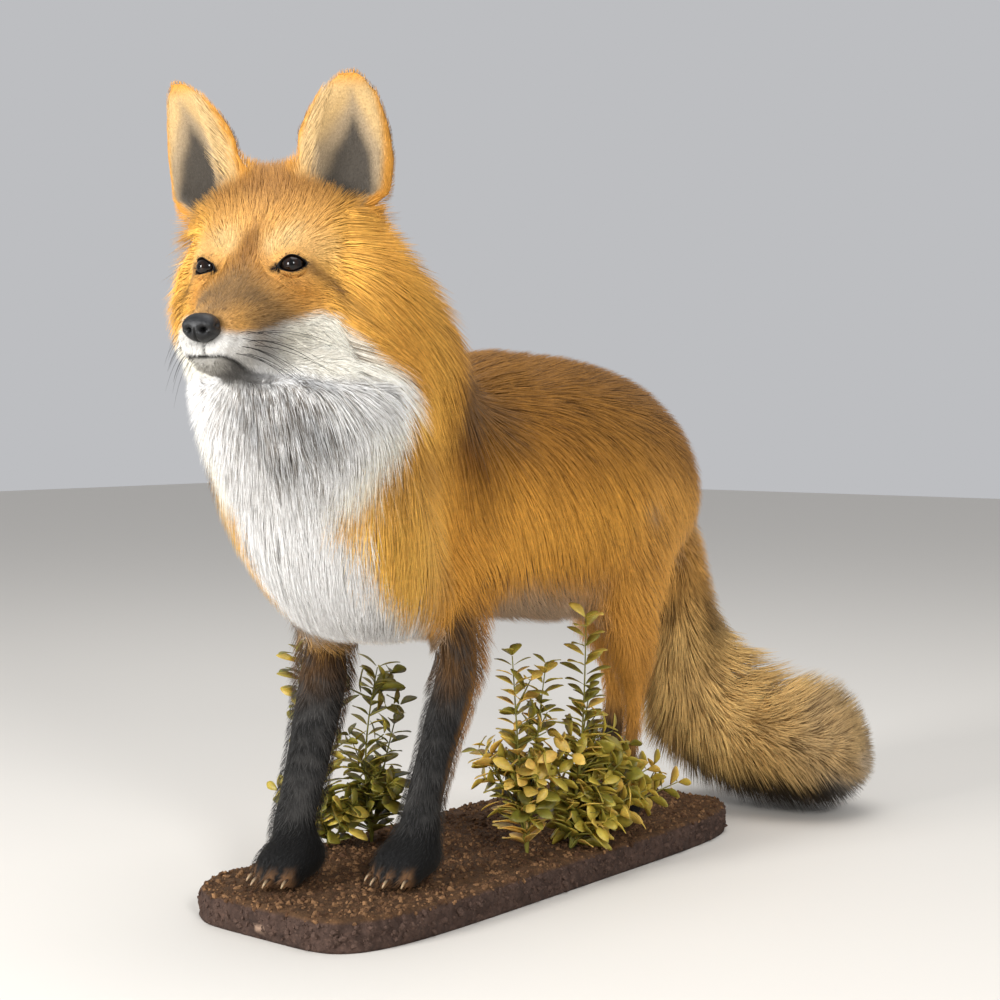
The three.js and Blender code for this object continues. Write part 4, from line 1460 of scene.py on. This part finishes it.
def whiskerMesh():
    dice = np.random.default_rng(whiskers["seed"])
    parts = []
    for hand in (1, -1):
        for row in range(whiskers["rows"]):
            for number in range(whiskers["perRow"]):
                ahead = 50 - 5.2 * number + dice.uniform(-1, 1)
                high = -45.5 - 4.2 * row + dice.uniform(-1, 1)
                seed = fromHead([(ahead, hand * 34, high)])[0]
                hit = skinTree.ray_cast(Vector(seed), Vector(-headLeft * hand))
                if hit[0] is None:
                    continue
                root = np.array(hit[0])
                length = dice.uniform(*whiskers["long"]) * (0.55 + 0.11 * number)
                length = length * (1 if hand > 0 else 0.7) * mm
                out = 0.95 - 0.05 * number + dice.uniform(-0.12, 0.12)
                lifted = 0.26 - 0.16 * row + dice.uniform(-0.1, 0.1)
                aim = unit(headLeft * hand * out - headForward * 0.5 + headUp * lifted)
                fall = -headUp * dice.uniform(0.7, 1.0) - headForward * 0.35
                t = np.linspace(0, 1, whiskers["segments"])[:, None]
                path = root - aim * 1.5 * mm + aim * length * t + fall * length * t ** 2 * 0.6
                parts.append(taperedHair(path, whiskers["root"] * mm))
    for number in range(3):  # a few over each brow
        for hand in (1, -1):
            ahead, high = 2 + dice.uniform(-2, 2), 17 + dice.uniform(-1, 1)
            place = fromHead([(ahead, hand * (20 + number * 2.0), high)])[0]
            hit = skinTree.find_nearest(Vector(place))
            aim = unit(headUp * 0.8 + headLeft * hand * 0.5 - headForward * dice.uniform(0.0, 0.4))
            t = np.linspace(0, 1, 6)[:, None]
            length = dice.uniform(18, 30) * mm
            path = np.array(hit[0]) + aim * length * t - headForward * length * t ** 2 * 0.4
            parts.append(taperedHair(path, 0.10 * mm))
    points, corners = joined(parts)
    return meshOf("whiskers", points, corners)


whiskerPiece = pieceOf("whiskers", whiskerMesh(), hideMaterial("whiskerHorn", tone(22, 20, 19), 0.35, 300))
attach(whiskerPiece, "root")


# claws: horn, brown at the root and pale at the point

def clawMesh():
    shape = bmesh.new()
    for name in clawNodes:
        one = nodeCorners([name])
        mesh = bpy.data.meshes.new(name + "_part")
        one.to_mesh(mesh)
        one.free()
        shape.from_mesh(mesh)
        bpy.data.meshes.remove(mesh)
    mesh = bpy.data.meshes.new("claws")
    shape.to_mesh(mesh)
    shape.free()
    return mesh


def clawMaterial():
    noise = (420, 3.0, 0.6, (1, 0.25, 1))
    stops = [(0.3, (0.7, 0.66, 0.6)), (0.7, (1.1, 1.1, 1.08))]
    finish = {"Roughness": 0.38, "Subsurface Weight": 0.1, "Subsurface Scale": 0.002}
    material, tree, shader = paintedMaterial("clawHorn", "clawPaint", 0.8, noise, stops, finish)
    bumpFrom(tree, shader, noiseNode(tree, 900, 2.0, 0.6, (1, 0.2, 1)), 0.3, 0.0003)
    return material


def makeClaws():
    piece = pieceOf("claws", clawMesh(), clawMaterial())
    smooth = piece.modifiers.new("smooth", "SUBSURF")
    smooth.levels = smooth.render_levels = 1
    settled(piece)
    mesh = piece.data
    points, _ = trianglesOf(mesh)
    share = np.zeros(len(points))
    for name in clawNodes:
        low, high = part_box(name)
        inside = ((points > np.array(low) - 0.5 * mm) & (points < np.array(high) + 0.5 * mm)).all(1)
        share[inside] = (high.y - points[inside, 1]) / (high.y - low.y)
        root = np.array([(low.x + high.x) / 2, high.y, high.z])
        points[inside] = root + (points[inside] - root) * [0.95, 0.78, 0.9]
    mesh.vertices.foreach_set("co", points.astype(np.float32).ravel())
    colour = np.tile(tone(56, 40, 28), (len(points), 1))
    colour = blended(colour, tone(164, 140, 108), fade(share, 0.4, 0.85))
    paintPoints(mesh, "clawPaint", colour)
    mesh.polygons.foreach_set("use_smooth", np.ones(len(mesh.polygons), bool))
    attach(piece, "root")
    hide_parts(*clawNodes)


makeClaws()
report("eyes, nose, whiskers and claws")


# base: a rough cast slab with loose soil on it

slab = dict(around=520, topRings=34, squareness=5.5, chip=(2, -246, 8))
slabProfile = (  # inset and height of the edge, from the top down
    (4.6, 24.0), (2.8, 23.3), (1.3, 21.9), (0.4, 19.6), (0, 17), (0, 14), (0, 11), (0, 8),
    (0.2, 5), (0.8, 2.2), (2.0, 0.0),
)


def slabMesh():
    low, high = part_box("base")
    middle = np.array((low + high) / 2)
    half = (np.array(high) - np.array(low)) / 2
    # even steps along the outline
    power = slab["squareness"]
    fineTurn = np.linspace(0, 2 * math.pi, 6000)
    way = np.stack([np.cos(fineTurn), np.sin(fineTurn)], -1)
    reach = ((np.abs(way) / half[:2]) ** power).sum(1) ** (-1 / power)
    line = way * reach[:, None]
    run = np.concatenate([[0], np.cumsum(np.linalg.norm(np.diff(line, axis=0), axis=-1))])
    want = np.linspace(0, run[-1], slab["around"], endpoint=False)
    outline = np.stack([np.interp(want, run, line[:, k]) for k in range(2)], -1)
    outwardWay = unit(np.stack([
        np.sign(outline[:, 0]) * np.abs(outline[:, 0] / half[0]) ** (power - 1) / half[0],
        np.sign(outline[:, 1]) * np.abs(outline[:, 1] / half[1]) ** (power - 1) / half[1],
    ], -1))
    rings = []
    rim = outline - outwardWay * slabProfile[0][0] * mm
    for k in range(1, slab["topRings"]):
        share = (k / slab["topRings"]) ** 0.9
        rings.append(np.column_stack([rim * share, np.full(len(rim), slabProfile[0][1] * mm)]))
    for inset, height in slabProfile:
        rings.append(np.column_stack([outline - outwardWay * inset * mm, np.full(len(rim), height * mm)]))
    for share in (0.9, 0.6, 0.3):
        rings.append(np.column_stack([rings[-1][:, :2] * share, np.zeros(len(rim))]))
    rings = np.stack(rings)
    points, corners = cappedTube(rings)
    points[:, :2] += middle[:2]
    mesh = meshOf("soilSlab", points, corners)
    normals = normalsOf(points, corners)
    upper = fade(normals[:, 2], 0.2, 0.8)
    flank = fade(points[:, 2], 0.1 * mm, 3 * mm) * (1 - upper)
    lump = 0.6 * ripple(points, 0.034, 51) + 1.1 * ripple(points, 0.011, 52, 24)
    lump = lump + 0.9 * ripple(points, 0.0062, 53, 36)
    mound = 0.7 * ripple(points, 0.06, 54) + 0.5 * ripple(points, 0.016, 55)
    mound = mound + 0.35 * ripple(points, 0.006, 56, 24)
    points = points + normals * ((lump - 0.9) * flank * mm)[:, None]
    points[:, 2] += (mound - 1.0) * upper * mm
    mesh.vertices.foreach_set("co", points.astype(np.float32).ravel())
    # the soil's own colour on top, a purple brown cast side, and a pale chip
    soil = tone(88, 63, 40) * (1 + 0.22 * ripple(points, 0.012, 57))[:, None]
    cast = tone(76, 59, 51) * (1 + 0.16 * ripple(points, 0.02, 58))[:, None]
    colour = cast + (soil - cast) * fade(points[:, 2], 19.5 * mm, 22 * mm)[:, None]
    chip = spot(points / mm, slab["chip"], (7, 5, 3))
    chip = fade(chip + 0.12 * ripple(points, 0.005, 59), 0.35, 0.6)
    colour = blended(colour, tone(178, 150, 128), 0.9 * chip)
    paintPoints(mesh, "soilPaint", np.clip(colour, 0.003, 1))
    return mesh


def soilMaterial(name, grain, bump):
    stops = [(0.32, (0.5, 0.47, 0.46)), (0.6, (1.05, 1.02, 1.0)), (0.76, (1.7, 1.6, 1.5))]
    finish = {"Roughness": 0.88, "Specular IOR Level": 0.25}
    material, tree, shader = paintedMaterial(name, "soilPaint", 0.85, (grain, 4.0, 0.65), stops, finish)
    bumpFrom(tree, shader, noiseNode(tree, grain * 1.3, 5.0, 0.7), 0.8, bump)
    return material


slabPiece = pieceOf("soilSlab", slabMesh(), soilMaterial("castSoil", 240, 0.0026))
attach(slabPiece, "root")
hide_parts("base")


def newTree(name, sizes):  # a Geometry Nodes tree with named inputs
    tree = bpy.data.node_groups.new(name, "GeometryNodeTree")
    tree.interface.new_socket("Geometry", in_out="INPUT", socket_type="NodeSocketGeometry")
    for label, value in sizes.items():
        kind = "NodeSocketInt" if isinstance(value, int) else "NodeSocketFloat"
        tree.interface.new_socket(label, in_out="INPUT", socket_type=kind).default_value = value
    tree.interface.new_socket("Geometry", in_out="OUTPUT", socket_type="NodeSocketGeometry")
    return tree, tree.nodes.new("NodeGroupInput"), tree.nodes.new("NodeGroupOutput")


def applyTree(piece, tree, sizes):
    modifier = piece.modifiers.new(tree.name, "NODES")
    modifier.node_group = tree
    for item in tree.interface.items_tree:
        if item.in_out == "INPUT" and item.name in sizes:
            modifier[item.identifier] = sizes[item.name]
    return settled(piece)


def mathNode(tree, operation, *values):
    node = addNode(tree, "ShaderNodeMath", dict(operation=operation))
    for socket, value in zip(node.inputs, values):
        feed(tree, socket, value)
    return node.outputs[0]


def randomNode(tree, kind, low, high, seed):
    node = addNode(tree, "FunctionNodeRandomValue", dict(data_type=kind), Min=low, Max=high, Seed=seed)
    return shownSocket(node.outputs, "Value")


crumbs = dict(sizes={"Per square metre": 52000.0, "Smallest": 0.0009, "Largest": 0.0029, "Seed": 9})


def crumbShape():
    shape = bmesh.new()
    bmesh.ops.create_icosphere(shape, subdivisions=1, radius=1.0)
    dice = np.random.default_rng(12)
    for corner in shape.verts:
        corner.co *= dice.uniform(0.72, 1.2)
    mesh = bpy.data.meshes.new("crumb")
    shape.to_mesh(mesh)
    shape.free()
    return pieceOf("crumb", mesh, materials["skin"])


def firstOf(tree, kind, settings=None, **inputs):
    return addNode(tree, kind, settings, **inputs).outputs[0]


def instancesOf(tree, source, points, **inputs):
    shape = addNode(tree, "GeometryNodeObjectInfo", Object=source).outputs["Geometry"]
    return firstOf(tree, "GeometryNodeInstanceOnPoints", Points=points, Instance=shape, **inputs)


def marked(tree, kind, domain, geometry, name, value):
    return firstOf(tree, "GeometryNodeStoreNamedAttribute", dict(data_type=kind, domain=domain),
                   Geometry=geometry, Name=name, Value=value)


def crumbTree(crumb, material):
    tree, start, end = newTree("looseSoil", crumbs["sizes"])
    facing = firstOf(tree, "GeometryNodeInputNormal")
    facing = addNode(tree, "ShaderNodeSeparateXYZ", Vector=facing).outputs[2]
    height = firstOf(tree, "GeometryNodeInputPosition")
    height = addNode(tree, "ShaderNodeSeparateXYZ", Vector=height).outputs[2]
    isUp = mathNode(tree, "GREATER_THAN", facing, -0.35)
    isClear = mathNode(tree, "GREATER_THAN", height, 0.0038)  # none reaches under the base
    points = firstOf(
        tree, "GeometryNodeDistributePointsOnFaces", Mesh=start.outputs["Geometry"],
        Selection=mathNode(tree, "MULTIPLY", isUp, isClear),
        Density=start.outputs["Per square metre"], Seed=start.outputs["Seed"],
    )
    share = mathNode(tree, "POWER", randomNode(tree, "FLOAT", 0.0, 1.0, 4), 3.0)
    spread = mathNode(tree, "SUBTRACT", start.outputs["Largest"], start.outputs["Smallest"])
    size = mathNode(tree, "MULTIPLY_ADD", share, spread, start.outputs["Smallest"])
    squash = tree.nodes.new("ShaderNodeVectorMath")
    squash.operation = "SCALE"
    feed(tree, squash.inputs[0], randomNode(tree, "FLOAT_VECTOR", (0.7, 0.7, 0.55), (1.3, 1.3, 1.0), 5))
    feed(tree, squash.inputs["Scale"], size)
    spin = randomNode(tree, "FLOAT_VECTOR", (0, 0, 0), (6.28, 6.28, 6.28), 3)
    scattered = instancesOf(tree, crumb, points, Rotation=spin, Scale=squash.outputs[0])
    # crumbs from dark to pale, and on the side in the cast's own colour
    pale = mathNode(tree, "POWER", randomNode(tree, "FLOAT", 0.0, 1.0, 6), 1.7)
    tint = mixNode(tree, "MIX", pale, (*tone(74, 50, 32), 1), (*tone(142, 107, 73), 1))
    isSide = mathNode(tree, "LESS_THAN", height, 0.0195)
    tint = mixNode(tree, "MIX", isSide, tint, (*tone(84, 66, 57), 1))
    real = firstOf(
        tree, "GeometryNodeRealizeInstances",
        Geometry=marked(tree, "FLOAT_COLOR", "INSTANCE", scattered, "soilPaint", tint),
    )
    feed(tree, end.inputs[0], firstOf(tree, "GeometryNodeSetMaterial", Geometry=real, Material=material))
    return tree


def looseSoil():
    material = soilMaterial("looseCrumbs", 520, 0.0005)
    crumb = crumbShape()
    piece = pieceOf("looseSoil", slabPiece.data.copy(), material)
    applyTree(piece, crumbTree(crumb, material), crumbs["sizes"])
    bpy.data.objects.remove(crumb)
    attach(piece, "root")
    report(f"looseSoil: {len(piece.data.polygons)} faces")


looseSoil()


# sprigs: stems with pairs of small leaves

sprigs = dict(  # root on the base, tips of the main stems, and how dull or bright the leaves are
    sprig_1=dict(
        root=(-67, -62), tint=(0.0, 0.6),
        tips=((-63, -59, 160), (-50, -48, 130), (-80, -73, 106), (-56, -60, 84)),
    ),
    sprig_2=dict(
        root=(-77, -100), tint=(0.1, 0.8),
        tips=((-90, -128, 176), (-84, -146, 74), (-70, -128, 62)),
    ),
    sprig_3=dict(
        root=(52, -16), tint=(0.25, 1.1),
        tips=((23, -39, 102), (45, -22, 116), (43, -23, 174), (63, -7, 168)),
    ),
    sprig_4=dict(
        root=(68, 17), tint=(0.2, 0.95),
        tips=((88, 10, 203), (80, 26, 146), (97, 78, 62), (93, 52, 90), (100, 118, 62),
              (92, 96, 78), (104, 44, 52), (88, 66, 98)),
    ),
)
sprigSizes = {"Pair spacing": 0.0074, "Stem radius": 0.0011, "Bare share": 0.06, "Leaf size": 1.42,
              "Dullest": 0.0, "Brightest": 1.0, "Seed": 1}
stemReach = -84  # stems are held back to here, as node sprig_2 is too short for their leaves
leaf = dict(long=15.5, wide=9.0, rows=6, cup=0.16, droop=0.22, lift=0.62, thick=0.28)


def leafPair():
    rows = np.linspace(0, 1, leaf["rows"])
    across = np.array([-1.0, 0.0, 1.0])
    parts = []
    for hand in (1, -1):
        half = leaf["wide"] / 2 * np.sin(math.pi * np.clip(rows, 0.03, 0.97) ** 1.15) ** 0.75
        x = (1.2 + rows * leaf["long"])[:, None] + 0 * across
        y = half[:, None] * across
        fall = leaf["droop"] * (rows ** 2)[:, None] * leaf["long"]
        z = leaf["lift"] * x + leaf["cup"] * np.abs(y) * 1.3 - fall
        top = np.stack([x * hand, y, z + leaf["thick"] / 2], -1)
        low = np.stack([x * hand, y, z - leaf["thick"] / 2], -1)
        count = leaf["rows"]
        points = np.concatenate([top.reshape(-1, 3), low.reshape(-1, 3)])
        faces = []
        for k in range(count - 1):
            for j in range(2):
                a = k * 3 + j
                quad = (a, a + 1, a + 4, a + 3)
                faces += [quad, tuple(n + 3 * count for n in reversed(quad))]
            for j in (0, 2):
                a = k * 3 + j
                faces.append((a, a + 3, a + 3 + 3 * count, a + 3 * count))
        for a in (0, 1, (count - 1) * 3, (count - 1) * 3 + 1):
            faces.append((a, a + 1, a + 1 + 3 * count, a + 3 * count))
        parts.append((points * mm, np.array(faces)))
    points, corners = joined(parts)
    mesh = outwards(meshOf("leafPair", points, corners))
    return pieceOf("leafPair", mesh, materials["skin"])


def leafMaterial():
    material, tree, shader = newMaterial("sprigLeaf")
    tint = addNode(tree, "ShaderNodeAttribute", dict(attribute_name="leafTint"))
    green = rampNode(tree, tint.outputs["Fac"], [
        (0.0, tuple(tone(88, 88, 32))), (0.35, tuple(tone(134, 128, 46))),
        (0.7, tuple(tone(184, 164, 66))), (1.0, tuple(tone(226, 186, 96))),
    ])
    patch = rampNode(tree, noiseNode(tree, 160, 3.0), [(0.3, (0.72, 0.70, 0.62)), (0.7, (1.15, 1.12, 1.0))])
    tree.links.new(mixNode(tree, "MULTIPLY", 0.85, green, patch), shader.inputs["Base Color"])
    shader.inputs["Roughness"].default_value = 0.48
    shader.inputs["Subsurface Weight"].default_value = 0.08
    shader.inputs["Subsurface Scale"].default_value = 0.002
    bumpFrom(tree, shader, noiseNode(tree, 420, 3.0), 0.35, 0.0004)
    return material


def sprigTree(pair, material):
    tree, start, end = newTree("leafySprig", sprigSizes)
    line = firstOf(tree, "GeometryNodeMeshToCurve", Mesh=start.outputs["Geometry"])
    line = firstOf(tree, "GeometryNodeResampleCurve", dict(mode="LENGTH"),
                   Curve=line, Length=start.outputs["Pair spacing"])
    share = addNode(tree, "GeometryNodeSplineParameter").outputs["Factor"]
    # stems that thin towards the tip
    thin = mathNode(tree, "MULTIPLY_ADD", share, -0.62, 1.0)
    thick = mathNode(tree, "MULTIPLY", thin, start.outputs["Stem radius"])
    stem = firstOf(tree, "GeometryNodeCurveToMesh", **{
        "Curve": firstOf(tree, "GeometryNodeSetCurveRadius", Curve=line, Radius=thick),
        "Profile Curve": firstOf(tree, "GeometryNodeCurvePrimitiveCircle", Resolution=6, Radius=1.0),
        "Scale": firstOf(tree, "GeometryNodeInputRadius"),
        "Fill Caps": True,
    })
    stem = marked(tree, "FLOAT", "POINT", stem, "leafTint", 0.22)
    # pairs of leaves, each a quarter turn on from the last
    aim = firstOf(tree, "FunctionNodeAlignRotationToVector", dict(axis="Z"),
                  Vector=firstOf(tree, "GeometryNodeInputTangent"))
    index = firstOf(tree, "GeometryNodeInputIndex")
    quarter = mathNode(tree, "MULTIPLY_ADD", index, 1.5708, randomNode(tree, "FLOAT", -0.5, 0.5, 2))
    turn = firstOf(tree, "FunctionNodeAxisAngleToRotation", Axis=(0, 0, 1), Angle=quarter)
    turn = firstOf(tree, "FunctionNodeRotateRotation", dict(rotation_space="LOCAL"),
                   **{"Rotation": aim, "Rotate By": turn})
    small = mathNode(tree, "MULTIPLY_ADD", share, -0.38, 1.05)
    vary = mathNode(tree, "MULTIPLY", small, randomNode(tree, "FLOAT", 0.72, 1.15, 3))
    leaves = instancesOf(
        tree, pair, line, Rotation=turn,
        Selection=mathNode(tree, "GREATER_THAN", share, start.outputs["Bare share"]),
        Scale=mathNode(tree, "MULTIPLY", vary, start.outputs["Leaf size"]),
    )
    ends = start.outputs["Dullest"], start.outputs["Brightest"]
    tint = randomNode(tree, "FLOAT", *ends, start.outputs["Seed"])
    leaves = marked(tree, "FLOAT", "INSTANCE", leaves, "leafTint", tint)
    join = tree.nodes.new("GeometryNodeJoinGeometry")
    for grown in (stem, firstOf(tree, "GeometryNodeRealizeInstances", Geometry=leaves)):
        tree.links.new(grown, join.inputs[0])
    finish = firstOf(tree, "GeometryNodeSetMaterial", Geometry=join.outputs[0], Material=material)
    feed(tree, end.inputs[0], finish)
    return tree


def stemLines(plan, dice):  # the stems of one sprig, with a few side twigs, as lines
    points, lines = [], []
    root = np.array([*plan["root"], 22.0])

    def addLine(path):
        start = len(points)
        points.extend(path)
        lines.extend((start + k, start + k + 1) for k in range(len(path) - 1))

    for tip in plan["tips"]:
        tip = np.array(tip, float)
        bow = np.array([*(dice.uniform(-7, 7, 2)), 0])
        t = np.linspace(0, 1, 12)[:, None]
        lean = (tip - root) * [1, 1, 0]
        path = root + (tip - root) * t - lean * (t * (1 - t)) * 0.5 + bow * np.sin(math.pi * t)
        addLine(path)
        for share in dice.uniform(0.2, 0.85, 3 + int((tip[2] - 24) / 36)):
            foot = path[int(share * 11)]
            way = unit(np.array([*dice.normal(0, 1, 2), 0.9]))
            twig = foot + way * dice.uniform(16, 28) * np.linspace(0, 1, 5)[:, None]
            addLine(twig)
    points = np.array(points)
    points[:, 0] = np.maximum(points[:, 0], stemReach)
    return points * mm, lines


def growSprigs():
    material = leafMaterial()
    pair = leafPair()
    tree = sprigTree(pair, material)
    for number, (node, plan) in enumerate(sprigs.items()):
        dice = np.random.default_rng(60 + number)
        points, lines = stemLines(plan, dice)
        mesh = bpy.data.meshes.new(node)
        mesh.from_pydata(points.tolist(), lines, [])
        piece = pieceOf("leafySprig" + str(number + 1), mesh, material)
        dull, bright = plan["tint"]
        applyTree(piece, tree, {**sprigSizes, "Dullest": dull, "Brightest": bright, "Seed": number + 1})
        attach(piece, "root")
        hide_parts(node)
        report(f"{piece.name}: {len(piece.data.polygons)} faces")
    bpy.data.objects.remove(pair)


growSprigs()
